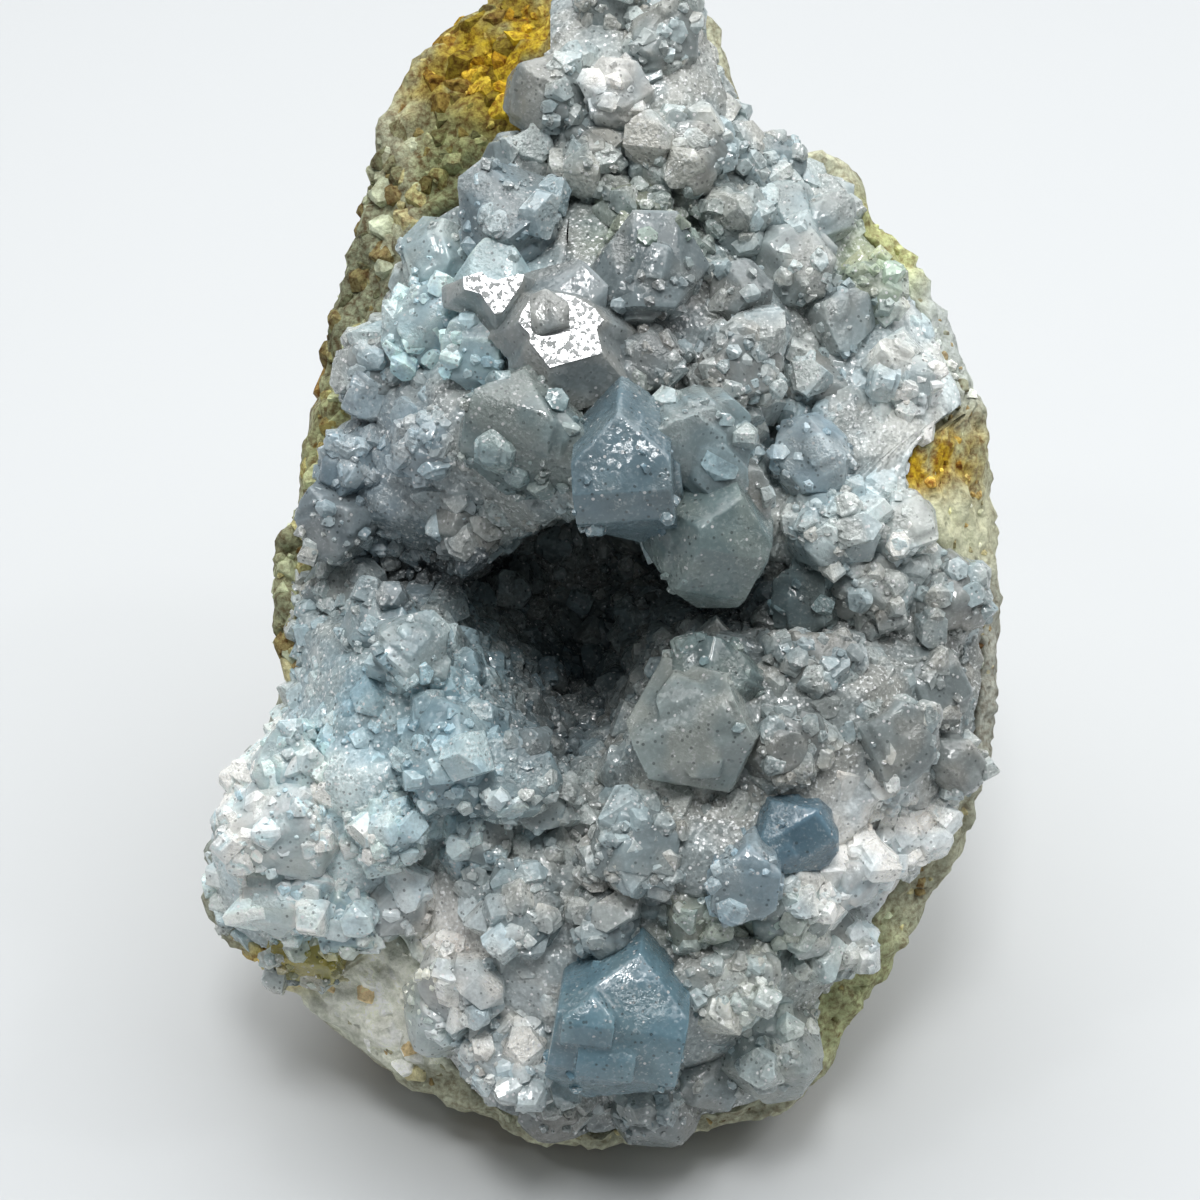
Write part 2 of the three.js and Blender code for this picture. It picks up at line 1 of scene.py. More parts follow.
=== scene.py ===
"""Celestite crystal cluster: looks for the part, in the part's own frame, in metres.

The crystal side is described in a face frame: u to the right, w up the leaning face, n straight out of it,
all in millimetres. The same outlines, swells and named crystals as in the part's source are used, so every
visible piece sits on the solid that it dresses.
"""

import itertools
import json
import math

import bpy
import numpy as np
from mathutils import Matrix, Vector
from mathutils.bvhtree import BVHTree

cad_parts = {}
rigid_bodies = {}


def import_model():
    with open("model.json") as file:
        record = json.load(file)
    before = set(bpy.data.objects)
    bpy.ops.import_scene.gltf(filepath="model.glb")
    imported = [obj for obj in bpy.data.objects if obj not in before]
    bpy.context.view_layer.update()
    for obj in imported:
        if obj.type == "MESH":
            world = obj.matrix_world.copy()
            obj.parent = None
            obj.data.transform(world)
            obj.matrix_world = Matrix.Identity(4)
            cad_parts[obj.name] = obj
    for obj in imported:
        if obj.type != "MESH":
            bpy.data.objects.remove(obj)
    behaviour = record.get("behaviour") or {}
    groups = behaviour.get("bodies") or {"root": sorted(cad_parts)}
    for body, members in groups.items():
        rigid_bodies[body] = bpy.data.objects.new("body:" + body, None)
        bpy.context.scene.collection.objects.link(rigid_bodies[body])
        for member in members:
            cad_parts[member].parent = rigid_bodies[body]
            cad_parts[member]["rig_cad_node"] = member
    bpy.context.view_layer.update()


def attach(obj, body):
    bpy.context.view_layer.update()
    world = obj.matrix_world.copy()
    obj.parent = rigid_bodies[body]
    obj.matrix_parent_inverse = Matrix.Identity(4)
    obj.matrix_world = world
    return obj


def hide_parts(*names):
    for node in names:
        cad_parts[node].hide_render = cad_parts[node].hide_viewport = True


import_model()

# The same driving dimensions as in the solids' source
FACE_LEAN = math.radians(40)
FACE_CENTRE = (-0.6938, -5.86, 49.5)
BODY_DEPTH = 48.0
BACK_POLE = (0.5, -8.0)
BACK_FULLNESS = 0.88
CRUST_THICKNESS = 3.2
HOLLOW_DEPTH = 24.0
HOLLOW_CENTRE = (-0.5, -3.0)
HOLLOW_RISE = 6.0
HOLLOW_SPREAD = 0.15
EDGE_FALL = 6.0
EDGE_FALL_POWER = 5
BURIED = 1.4
EDGE_SHARE = 0.7
MOUTH_SHARE = 0.8
FILL_SPACING = 8.0
FILL_RADIUS = (2.8, 4.0)
FILL_LENGTH = 1.1
FILL_LEAN = math.radians(30)
FILL_EDGE_MARGIN = 0.5
HOLLOW_FILL = 12
HOLLOW_FILL_RADIUS = (1.5, 2.1)
RANDOM_SEED = 20413
CELL = (8.359, 5.352, 6.866)
FORM_SPREAD = 0.14

WALL_EDGE = [
    (2, 60), (7, 58.4), (10.2, 55), (11.6, 51), (12.6, 47.2), (15, 43.8), (24, 40.2), (25.6, 36),
    (28.3, 33.9), (30.7, 30.2), (32.6, 26.4), (34.4, 22.6), (35.8, 18.8), (36.4, 15), (36.3, 10),
    (36.9, 3.8), (37.2, -3.8), (37, -9.5), (36.5, -13.5), (35.9, -17.1), (34.9, -21), (31.3, -27.5),
    (27.5, -33.7), (22.8, -41.8), (19.2, -47.2), (17, -48.8), (9.5, -50.3), (3.8, -51.5), (-1, -52),
    (-6.6, -51), (-12.3, -48.4), (-17.1, -46), (-21.4, -43.2), (-28.5, -37), (-33.8, -33.2),
    (-36.8, -31.4), (-37.6, -28.6), (-36.8, -23), (-34, -17), (-31.7, -13.3), (-30, -9.5),
    (-28.6, -5.9), (-30.6, -3.4), (-30.8, 0), (-30.4, 5.4), (-28.4, 7.8), (-27.6, 13.4), (-26.2, 19),
    (-25.2, 23), (-25.4, 26.6), (-24, 30.6), (-22.2, 35.4), (-21.2, 40.8), (-21.2, 43.8),
    (-19.4, 47.6), (-17.2, 51.2), (-12.6, 55.2), (-8, 58.4), (-3, 60),
]
CRUST_EDGE = [
    (1.8, 58.6), (6, 57.4), (9, 54.2), (10.4, 50.6), (11.5, 46.8), (14.2, 42.9), (22.8, 39.2),
    (24.4, 35), (26.8, 32.4), (29, 28.8), (30.8, 25), (32.8, 21), (34, 17.8), (30, 15.4), (28, 12),
    (28.4, 8.6), (31, 5.4), (34, 1), (35.9, -4), (35.6, -10.4), (34.6, -16.8), (31, -23), (26.4, -29),
    (23.4, -34.4), (18.8, -40), (16.6, -46.4), (10.8, -48.9), (4.4, -50.2), (-1, -50.7),
    (-6.2, -49.7), (-11.4, -47), (-15.6, -40.6), (-16.6, -34), (-19.8, -31), (-23.4, -33.6),
    (-28.6, -34.4), (-33, -32.2), (-36.2, -29.4), (-36, -23.6), (-33.2, -17.2), (-30.6, -12.9),
    (-28.8, -9), (-27.6, -5.4), (-28.6, -2), (-28.2, 2), (-26.2, 6), (-25.6, 9.6), (-24.2, 14),
    (-22, 19), (-21, 24.4), (-18.8, 30), (-16.6, 34.8), (-12.2, 37.2), (-9, 41.2), (-5.2, 45.4),
    (-4.2, 52), (-3.8, 57),
]
HOLLOW_MOUTH = [
    (16.4, -0.6), (14, 1.8), (9.6, 2.8), (5.8, 4.6), (2.5, 7.2), (-1.7, 8.6), (-5.6, 7.1), (-9.6, 5),
    (-13.2, 2.6), (-15.2, -1.4), (-14.3, -5.6), (-10.7, -9.7), (-7.4, -13.1), (-4.4, -16.4),
    (-1, -17.6), (2.3, -15.6), (4.4, -11.5), (5.9, -7.9), (9.2, -5.7), (13.4, -4),
]
# Swells and dips: middle (u, w), half widths, turn in degrees, height
SWELLS = [
    ((0.5, 19), (22, 20), 0, 9), ((4.5, 9.5), (17, 9), -8, 5), ((-17, 13), (9, 10), 0, 3),
    ((-15.5, -11), (15, 13), -20, 8.5), ((-26.5, -22), (12, 11), 0, 6), ((14.5, -14), (21, 17), 0, 8.5),
    ((1.5, -31), (22, 16), 0, 7), ((26, 8), (11, 22), 0, 4), ((2.5, 46), (12, 13), 0, 3.5),
    ((-20, 1.6), (12, 6.5), -12, -5.5), ((16.5, 16), (4, 10), -18, -5), ((2, 38), (7, 3.4), -25, -4),
    ((19, -2), (12, 6), -8, -4.5), ((-0.5, -20), (5.5, 8), 0, -4), ((26.5, -21), (4, 4), 0, -3),
]

# Named crystals: place (u, w), radius, length, direction that they lean to, lean and turn in degrees
NAMED = [
    ("big_blue", (1.2, -37), 6.4, 8.5, -100, 22, 12),
    ("mirror_plate", (-3.4, 24.6), 4.4, 5, 90, 14, 30),
    ("mirror_wedge", (-9.6, 28), 3.2, 4.5, 90, 14, 75),
    ("upper_blade", (-7.8, 33.6), 4.2, 6, 120, 30, 100),
    ("upper_left_block", (-14.6, 31.4), 3.1, 4.5, 160, 25, 10),
    ("left_blue_group", (-15.2, 25.4), 3.6, 5, 190, 18, 50),
    ("left_blue_foot", (-11, 22.6), 2.8, 4, 230, 20, 15),
    ("grey_dome", (-6, 14.6), 5.2, 6, 240, 16, 5),
    ("blue_slab", (2.2, 10.6), 5.2, 7, 265, 34, 40),
    ("bright_block", (8.4, 14.2), 3.8, 6, 300, 20, 62),
    ("hanging_block", (8.2, 5.8), 5.4, 8, 285, 42, 20),
    ("small_lip_block", (11.8, 10.2), 2.8, 4.5, 300, 30, 33),
    ("grey_upper_dome", (3.8, 28.8), 4.4, 5, 60, 12, 80),
    ("upright_blade", (12.4, 26.4), 2.6, 5, 90, 30, 90),
    ("upper_right_block", (17.6, 30.6), 3.3, 5, 45, 20, 25),
    ("right_blue_block", (21.8, 25.6), 2.7, 4, 20, 22, 70),
    ("upper_right_slab", (17, 35.8), 3, 3.6, 60, 14, 5),
    ("upper_right_corner", (21, 35.4), 2.2, 3.4, 40, 16, 50),
    ("left_jutting_block", (-24, 8.2), 3.2, 5, 215, 38, 45),
    ("left_lower_block", (-19.4, -3), 3, 5, 120, 30, 66),
    ("cleft_neighbour", (-14.4, -4.8), 3.2, 5, 60, 30, 22),
    ("left_crown", (-13.4, -13.6), 4.4, 5.5, 200, 12, 37),
    ("left_brow", (-6.4, -12), 3.5, 5.5, 30, 26, 85),
    ("left_foot", (-6, -16), 2.8, 4, 330, 22, 55),
    ("far_left_crown", (-28.6, -20.4), 4.4, 5, 170, 12, 18),
    ("far_left_flank", (-27.4, -15.6), 3.3, 4.6, 150, 16, 72),
    ("far_left_foot", (-28.6, -27), 3.6, 4, 220, 12, 8),
    ("dull_white_block", (-18, -27.2), 3, 4, 200, 14, 48),
    ("pale_pentagon", (8.8, -10.8), 4.9, 6, 190, 12, 28),
    ("right_lip_block", (6, -5.4), 3.1, 4.6, 150, 34, 58),
    ("right_arm_block", (20, 0.4), 3.3, 5, 190, 26, 5),
    ("shelf_blue_block", (19.6, 13), 3.4, 4.4, 160, 16, 36),
    ("deep_blue_block", (16.8, -20.6), 3.4, 4.5, 300, 14, 44),
    ("blue_grey_block", (12.8, -24), 3.2, 4.4, 260, 18, 12),
    ("pale_lower_block", (22, -24.2), 3.2, 4.2, 320, 20, 61),
    ("whitish_dome", (20.6, -31), 3.5, 4.5, 300, 26, 24),
    ("grey_right_block", (26, -12.8), 3.4, 4.6, 350, 20, 77),
    ("right_edge_block", (30.4, -8), 3.2, 4.2, 0, 26, 30),
    ("right_edge_foot", (32.2, -15), 2.6, 3.8, 340, 30, 50),
    ("grey_foot_ball", (10, -44.6), 2.8, 3.6, 280, 36, 15),
    ("top_crest", (5.8, 51.6), 3.2, 4, 60, 18, 40),
    ("top_white_block", (1.4, 46), 2.8, 4, 120, 18, 65),
]

TO_PART = (
    Matrix.Scale(0.001, 4)
    @ Matrix.Translation(FACE_CENTRE)
    @ Matrix.Rotation(math.pi / 2 - FACE_LEAN, 4, "X")
)
TO_FACE = TO_PART.inverted()
TO_PART_NP = np.array(TO_PART)
TO_FACE_NP = np.array(TO_FACE)


def part_points(points):
    return points @ TO_PART_NP[:3, :3].T + TO_PART_NP[:3, 3]


def face_points(points):
    return points @ TO_FACE_NP[:3, :3].T + TO_FACE_NP[:3, 3]


# Numbers that repeat from run to run

GOLDEN_ANGLE = 2.399963


class Stream:
    """The same stream of numbers as the solids' source uses."""

    def __init__(self, seed):
        self.state = seed & 0xFFFFFFFF

    def __call__(self):
        self.state = (self.state * 1664525 + 1013904223) & 0xFFFFFFFF
        return self.state / 4294967296


def hashed(ix, iy, iz, seed):
    h = (ix * 374761393 + iy * 668265263 + iz * 1274126177 + seed * 362437) & 0xFFFFFFFF
    h = ((h ^ (h >> 13)) * 1103515245) & 0xFFFFFFFF
    h = (h ^ (h >> 16)) & 0xFFFFFFFF
    return h / 4294967295.0


def value_noise(points, size, seed):
    """Smooth noise from -1 to 1 with lumps of this size."""
    p = points / size
    cell = np.floor(p).astype(np.int64)
    f = p - cell
    f = f * f * (3 - 2 * f)
    total = 0.0
    for corner in itertools.product((0, 1), repeat=3):
        wx, wy, wz = np.where(corner, f, 1 - f).T
        total = total + wx * wy * wz * hashed(*(cell + corner).T, seed)
    return 2 * total - 1


def fractal(points, size, seed, octaves=3, fall=0.5):
    total, height, scale = 0.0, 1.0, 0.0
    for k in range(octaves):
        total = total + height * value_noise(points, size / 2**k, seed + 17 * k)
        scale += height
        height *= fall
    return total / scale


# The face's outlines and relief


def closed_curve(points, per_span=8):
    """A closed centripetal Catmull-Rom curve through the points."""
    p0, p1, p2, p3 = (np.roll(np.array(points, float), k, 0) for k in (1, 0, -1, -2))
    d0, d1, d2 = (np.sqrt(np.hypot(*(b - a).T))[:, None] for a, b in ((p0, p1), (p1, p2), (p2, p3)))
    t1 = ((p1 - p0) / d0 - (p2 - p0) / (d0 + d1) + (p2 - p1) / d1) * d1
    t2 = ((p2 - p1) / d1 - (p3 - p1) / (d1 + d2) + (p3 - p2) / d2) * d1
    c2 = -3 * p1 + 3 * p2 - 2 * t1 - t2
    c3 = 2 * p1 - 2 * p2 + t1 + t2
    spans = [p1 + t1 * t + c2 * t * t + c3 * t**3 for t in np.arange(per_span) / per_span]
    return np.stack(spans, 1).reshape(-1, 2)


def polar(u, w):
    """Angle and distance from the hollow's centre, for arrays."""
    du, dw = u - HOLLOW_CENTRE[0], w - HOLLOW_CENTRE[1]
    return np.arctan2(dw, du), np.hypot(du, dw)


def radius_table(points):
    curve = closed_curve(points)
    angle, radius = polar(curve[:, 0], curve[:, 1])
    order = np.argsort(angle)
    return angle[order], radius[order]


TABLES = {
    "wall": radius_table(WALL_EDGE),
    "crust": radius_table(CRUST_EDGE),
    "mouth": radius_table(HOLLOW_MOUTH),
}


def edge_radius(name, angle):
    angles, radii = TABLES[name]
    return np.interp(angle, angles, radii, period=2 * math.pi)


def relief(u, w):
    """Height of the crust's surface over the face plane, the hollow left out."""
    height = np.zeros_like(u)
    for (cu, cw), (hu, hw), turn, rise in SWELLS:
        c, s = math.cos(math.radians(turn)), math.sin(math.radians(turn))
        x = ((u - cu) * c + (w - cw) * s) / hu
        y = ((w - cw) * c - (u - cu) * s) / hw
        inside = np.maximum(1 - x * x - y * y, 0)
        height = height + rise * inside**2 * (3 - 2 * inside)
    angle, radius = polar(u, w)
    share = radius / edge_radius("wall", angle)
    return height - EDGE_FALL * np.minimum(share, 1.1) ** EDGE_FALL_POWER


def on_face(angle, radius, sunk):
    u = HOLLOW_CENTRE[0] + radius * np.cos(angle)
    w = HOLLOW_CENTRE[1] + radius * np.sin(angle)
    return np.stack([u, w, relief(u, w) - sunk], -1)


def in_hollow(angle, share, skin):
    mouth = edge_radius("mouth", angle) + skin
    rim = on_face(angle, mouth, skin)
    depth = (1 - share**3) ** 0.7
    spread = 1 + HOLLOW_SPREAD * np.sin(math.pi * np.minimum(1, depth * 1.15))
    radius = mouth * share**0.8 * spread
    u = HOLLOW_CENTRE[0] + radius * np.cos(angle)
    w = HOLLOW_CENTRE[1] + radius * np.sin(angle) + HOLLOW_RISE * depth
    return np.stack([u, w, rim[..., 2] * (1 - depth) - (HOLLOW_DEPTH + skin) * depth], -1)


def back_swell(angle, share):
    waves = 0.9 * np.sin(3 * angle + 1.1) + 0.7 * np.sin(5 * angle + 4 * share) + 0.5 * np.sin(8 * angle)
    return np.sin(math.pi * share) * waves


def ground_radius(angle):
    return sum(edge_radius("wall", angle + k * 0.18) for k in range(-3, 4)) / 7


def on_back(angle, share):
    slope = share * math.pi / 2
    blend = np.minimum(1, 2 * share)
    radius = edge_radius("wall", angle) * (1 - blend) + ground_radius(angle) * blend
    edge = on_face(angle, radius, 0)
    scale = np.cos(slope) ** BACK_FULLNESS
    out = 1 + 0.035 * np.sin(math.pi * np.minimum(1, share * 3)) + back_swell(angle, share) / 40
    cu = HOLLOW_CENTRE[0] + (BACK_POLE[0] - HOLLOW_CENTRE[0]) * np.sin(slope)
    cw = HOLLOW_CENTRE[1] + (BACK_POLE[1] - HOLLOW_CENTRE[1]) * np.sin(slope)
    u = cu + (edge[..., 0] - HOLLOW_CENTRE[0]) * scale * out
    w = cw + (edge[..., 1] - HOLLOW_CENTRE[1]) * scale * out
    return np.stack([u, w, edge[..., 2] * (1 - share) - BODY_DEPTH * np.sin(slope) ** 1.1], -1)


# Crystals


def crystal_planes(radius, length, ground, rand):
    """Faces of one crystal, its axis along +x, in the order that the solids' source grows them."""
    planes = [(-ground, BURIED)]

    def uneven():
        return 1 + FORM_SPREAD * (2 * rand() - 1)

    def form(h, k, l, distance):
        for sk in ((1, -1) if k else (0,)):
            for sl in ((1, -1) if l else (0,)):
                normal = np.array([h / CELL[0], sk * k / CELL[1], sl * l / CELL[2]], float)
                planes.append((normal / np.linalg.norm(normal), distance * uneven()))

    blunt = 0.62 + 0.3 * rand()
    form(0, 1, 1, radius)
    form(0, 0, 1, radius * (0.85 + 0.35 * rand()))
    form(2, 1, 0, length * blunt + radius * 0.2)
    if rand() < 0.4:
        form(1, 0, 2, radius * 0.72 + length * 0.3)
    form(1, 0, 0, length * (0.8 + 0.2 * rand()))
    return planes


def polyhedron(planes):
    """Corners and faces of the convex body that the planes enclose."""
    normals = np.array([n for n, _ in planes])
    dists = np.array([d for _, d in planes])
    i, j, k = np.array(list(itertools.combinations(range(len(planes)), 3))).T
    m = np.stack([normals[i], normals[j], normals[k]], 1)
    det = np.linalg.det(m)
    good = np.abs(det) > 1e-5
    m, rhs = m[good], np.stack([dists[i], dists[j], dists[k]], 1)[good]
    points = np.linalg.solve(m, rhs[..., None])[..., 0]
    inside = (points @ normals.T <= dists + 1e-6).all(1)
    points = points[inside]
    unique = []
    for p in points:
        if not unique or np.min(np.linalg.norm(np.array(unique) - p, axis=1)) > 1e-5:
            unique.append(p)
    points = np.array(unique)
    faces = []
    for normal, dist in zip(normals, dists):
        on = np.where(np.abs(points @ normal - dist) < 1e-5)[0]
        if len(on) < 3:
            continue
        mid = points[on].mean(0)
        side = points[on[0]] - mid
        side = side / np.linalg.norm(side)
        up = np.cross(normal, side)
        rel = points[on] - mid
        faces.append(list(on[np.argsort(np.arctan2(rel @ up, rel @ side))]))
    return points, faces


def turn_matrix(axis, turn):
    """The rotation that takes +x to the axis after a turn about +x."""
    stand = Vector((1, 0, 0)).rotation_difference(Vector(axis)).to_matrix()
    return np.array(stand @ Matrix.Rotation(turn, 3, "X"))


def face_normal(u, w):
    step = 0.5
    u, w = np.array([u, u, u + step, u - step]), np.array([w + step, w - step, w, w])
    h = relief(u, w)
    n = np.array([-(h[2] - h[3]), -(h[0] - h[1]), 2 * step])
    return n / np.linalg.norm(n)


def leaning_axis(normal, towards, lean):
    along = np.array([math.cos(towards), math.sin(towards), 0.0])
    along -= normal * (along @ normal)
    along /= np.linalg.norm(along)
    return normal * math.cos(lean) + along * math.sin(lean)


def standing_point(u, w, radius):
    angle, out = polar(u, w)
    nearest = edge_radius("mouth", angle) + radius * MOUTH_SHARE
    farthest = edge_radius("crust", angle) - radius * EDGE_SHARE
    return on_face(np.array(angle), np.array(max(min(out, farthest), nearest)), 0)


def crystal(name, root, normal, axis, radius, length, turn):
    matrix = turn_matrix(axis, turn)
    return dict(name=name, root=root, normal=normal, radius=radius, length=length, matrix=matrix)


def named_crystals():
    found = []
    for name, (u, w), radius, length, towards, lean, turn in NAMED:
        root = standing_point(u, w, radius)
        normal = face_normal(root[0], root[1])
        axis = leaning_axis(np.array([0.0, 0, 1]), math.radians(towards), math.radians(lean))
        found.append(crystal(name, root, normal, axis, radius, length, math.radians(turn)))
    return found


def filling_crystals(named, rand):
    """Crystals on an uneven grid over the face, wherever no named one stands."""
    found = []
    row_step = FILL_SPACING * math.sqrt(3) / 2
    for row, column in itertools.product(range(-9, 10), range(-6, 7)):
        u = (column + (0.5 if row % 2 else 0)) * FILL_SPACING + (rand() - 0.5) * 2
        w = row * row_step + (rand() - 0.5) * 2
        radius = FILL_RADIUS[0] + (FILL_RADIUS[1] - FILL_RADIUS[0]) * rand()
        towards, lean, turn = rand() * 2 * math.pi, rand() * FILL_LEAN, rand() * math.pi
        angle, out = polar(u, w)
        if out > edge_radius("crust", angle) + FILL_EDGE_MARGIN or out < edge_radius("mouth", angle):
            continue
        root = standing_point(u, w, radius)
        if any(math.hypot(*(c["root"][:2] - root[:2])) < c["radius"] + 0.3 * radius for c in named):
            continue
        normal = face_normal(root[0], root[1])
        axis = leaning_axis(normal, towards, lean)
        found.append(crystal("fill", root, normal, axis, radius, radius * FILL_LENGTH, turn))
    return found


def hollow_crystals(rand):
    """Crystals in a spiral over the hollow's inside."""
    found = []
    for i in range(HOLLOW_FILL):
        angle, share = (i * GOLDEN_ANGLE) % (2 * math.pi), math.sqrt((i + 0.5) / HOLLOW_FILL) * 0.92
        near = ((0, 0), (0.02, 0), (0, 0.02))
        root, side, out = (in_hollow(np.array(angle + da), np.array(share + ds), 0) for da, ds in near)
        normal = np.cross(out - root, side - root)
        normal /= np.linalg.norm(normal)
        radius = HOLLOW_FILL_RADIUS[0] + (HOLLOW_FILL_RADIUS[1] - HOLLOW_FILL_RADIUS[0]) * rand()
        turn = rand() * math.pi
        found.append(crystal("hollow", root, normal, normal, radius, radius * FILL_LENGTH, turn))
    return found


def solid_crystals():
    """Every crystal of the solids, as a dict with its place, direction and planes."""
    rand = Stream(RANDOM_SEED)
    found = named_crystals()
    found += filling_crystals(found, rand)
    found += hollow_crystals(rand)
    for c in found:
        c["planes"] = crystal_planes(c["radius"], c["length"], c["matrix"].T @ c["normal"], rand)
    return found


CRYSTALS = solid_crystals()

# Colours are linear. Zones: middle (u, w), half widths, colour, strength
GREY = (0.4, 0.43, 0.43)
# Share of the colour taken away deep in the hollow: painted shade
HOLLOW_SHADE = 0.15
CRYSTAL_ZONES = [
    ((0, 24), (14, 12), (0.26, 0.275, 0.28), 0.85),
    ((-17, -12), (13, 12), (0.37, 0.50, 0.56), 0.9),
    ((-28, -22), (12, 11), (0.78, 0.90, 0.94), 1.0),
    ((-12, 27), (8, 6), (0.67, 0.81, 0.85), 0.9),
    ((26, 18), (12, 14), (0.43, 0.47, 0.48), 0.8),
    ((24, 5), (8, 7), (0.57, 0.62, 0.63), 0.8),
    ((6, 50), (12, 12), (0.47, 0.49, 0.48), 0.8),
    ((16, -14), (14, 10), (0.29, 0.30, 0.29), 0.8),
    ((-10, -38), (10, 10), (0.64, 0.65, 0.65), 0.9),
    ((-15, -30), (6, 6), (0.74, 0.73, 0.73), 0.9),
    ((2, -26), (10, 6), (0.38, 0.4, 0.4), 0.7),
    ((26, -24), (9, 9), (0.97, 0.97, 0.97), 1.0),
    ((31, 16), (6, 13), (0.84, 0.87, 0.86), 0.9),
    ((30, -6), (8, 8), (0.31, 0.32, 0.31), 0.8),
    ((-20, 12), (8, 10), (0.31, 0.37, 0.42), 0.8),
    ((-2, -50), (14, 4), (0.34, 0.36, 0.36), 0.8),
    # Darker in the lower hollow and in its two arms at the sides: painted shade
    ((-4, -10), (6.5, 8), (0.21, 0.245, 0.26), 1.0),
    ((-14.5, 2.5), (7, 3.4), (0.08, 0.09, 0.10), 0.9),
    ((13.5, 0), (5.5, 4), (0.1, 0.12, 0.13), 0.85),
    ((22, -4), (6, 3), (0.29, 0.30, 0.30), 0.7),
    # Paler in the valley below the left crown, lifting the shade that falls there: painted light
    ((-9.5, -20.5), (6.5, 3.5), (0.64, 0.70, 0.72), 0.8),
    ((-17.5, -27), (4, 4), (0.80, 0.82, 0.84), 0.8),
    ((18, 33), (8, 7), (0.5, 0.54, 0.54), 0.8),
    ((26, 32), (3.5, 5), (0.42, 0.48, 0.28), 0.7),
    ((17, -36), (7, 7), (0.54, 0.57, 0.54), 0.8),
    ((-18, -36), (4.5, 7), (1.0, 1.0, 0.9), 1.0),
    ((-26, -34), (4.5, 2.2), (0.62, 0.5, 0.12), 1.0),
    ((4, 35), (10, 6), (0.27, 0.30, 0.29), 0.8),
    ((4, 33), (6, 3), (0.18, 0.23, 0.15), 0.5),
    ((3, 17), (4, 2.5), (0.2, 0.25, 0.15), 0.5),
    ((12, -29), (7, 3), (0.34, 0.40, 0.31), 0.5),
]
NAMED_TINTS = {
    "big_blue": (0.19, 0.3, 0.36),
    "deep_blue_block": (0.155, 0.25, 0.32),
    "blue_grey_block": (0.34, 0.42, 0.47),
    "blue_slab": (0.19, 0.26, 0.3),
    "hanging_block": (0.23, 0.29, 0.29),
    "left_blue_group": (0.56, 0.70, 0.76),
    "left_blue_foot": (0.52, 0.65, 0.70),
    "upper_blade": (0.31, 0.37, 0.4),
    "grey_dome": (0.28, 0.33, 0.33),
    "bright_block": (0.34, 0.41, 0.43),
    "shelf_blue_block": (0.46, 0.55, 0.61),
    "pale_pentagon": (0.39, 0.43, 0.42),
    "right_arm_block": (0.2, 0.25, 0.26),
    "right_lip_block": (0.24, 0.3, 0.3),
    "dull_white_block": (0.76, 0.76, 0.76),
    "top_white_block": (0.72, 0.73, 0.73),
}
ROCK_BACK = (0.44, 0.46, 0.37)
ROCK_ZONES = [
    ((-9, 50), (11, 11), (0.23, 0.24, 0.13), 1.0),
    ((31, 13), (6, 6), (0.42, 0.43, 0.26), 1.0),
    ((-9, 50), (9, 9), (0.36, 0.27, 0.018), 1.0),
    ((-14, 40), (6, 7), (0.15, 0.18, 0.10), 0.9),
    ((-24, 30), (6, 16), (0.19, 0.22, 0.16), 0.9),
    ((-26, 15), (4, 10), (0.28, 0.31, 0.18), 0.9),
    ((-30, 2), (4, 9), (0.22, 0.25, 0.16), 0.8),
    ((31, 13), (5, 4.5), (0.42, 0.29, 0.018), 1.0),
    ((33, 5), (6, 6), (0.75, 0.75, 0.55), 0.9),
    ((32, 26), (7, 9), (0.57, 0.61, 0.61), 1.0),
    ((28, 33), (5, 6), (0.47, 0.52, 0.27), 0.9),
    ((37, -8), (5, 12), (0.37, 0.39, 0.37), 1.0),
    ((-28, -34), (6, 4), (0.55, 0.45, 0.12), 1.0),
    ((-20, -38), (9, 7), (0.97, 0.97, 0.90), 1.0),
    ((24, -38), (8, 10), (0.39, 0.44, 0.26), 0.9),
    ((-35, -19), (6, 13), (0.42, 0.48, 0.5), 1.0),
]

# How far the zones' borders wander, in mm, and how far out a zone reaches, in its half widths
ZONE_WANDER, ZONE_REACH = 2.2, 1.35
# A tint with less blue than this is a stain, which comes in patches
STAIN_BLUE = 0.02
# How far behind the face the wall's outside starts, over how many mm it blends in, and how it is stained
OUTSIDE_START, OUTSIDE_BLEND, STAIN_SOFTNESS, STAIN_STRENGTH = 8, 6, 0.18, 0.85

# Stains on the wall's outside: patch size in mm, threshold, colour, seed
OUTSIDE_STAINS = [
    (14, 0.0, (0.36, 0.40, 0.33), 61),
    (9, 0.12, (0.60, 0.58, 0.49), 62),
    (6, 0.2, (0.42, 0.33, 0.16), 63),
    (3, 0.24, (0.30, 0.24, 0.13), 64),
]

# The two flat crystal faces that mirror the lamp: outline (u, w) and height over the relief
MIRRORS = [
    ([(-11.9, 28.3), (-10.3, 28.8), (-9.8, 28.3), (-8.9, 28.0), (-7.1, 28.6), (-6.6, 28.5), (-6.8, 27.7),
      (-8.5, 25.0), (-9.1, 24.9), (-10.4, 26.8), (-11.8, 27.2)], 6.6),
    ([(-6.0, 22.3), (-4.3, 20.0), (0.2, 21.3), (-0.3, 23.5), (0.3, 24.3), (-0.5, 25.4), (-2.3, 26.5),
      (-4.0, 26.8), (-5.8, 26.5), (-6.7, 25.0), (-7.0, 24.1), (-6.0, 23.0)], 6.2),
]
PLATE_DOME, DOME_TRIANGLES, DOME_SUNK = ((-4.3, 24.9), 1.75), 900, 0.4
MIRROR_LEAN = math.radians(14)
MIRROR_TINT = (0.40, 0.42, 0.42)
# Thickness of such a plate, how deep under it its crystal starts and ends, and how much that one widens
PLATE_DEPTH, WEDGE_TOP, WEDGE_DEPTH, WEDGE_SPREAD = 0.3, 0.12, 4.2, 1.85
WEDGE_VOXEL, WEDGE_TRIANGLES = 0.2, 1500

SEEDS = {"tints": 7, "steps": 71, "druse": 900, "cover": 17, "crust": 5, "rind": 300, "wall": 23, "dome": 55}

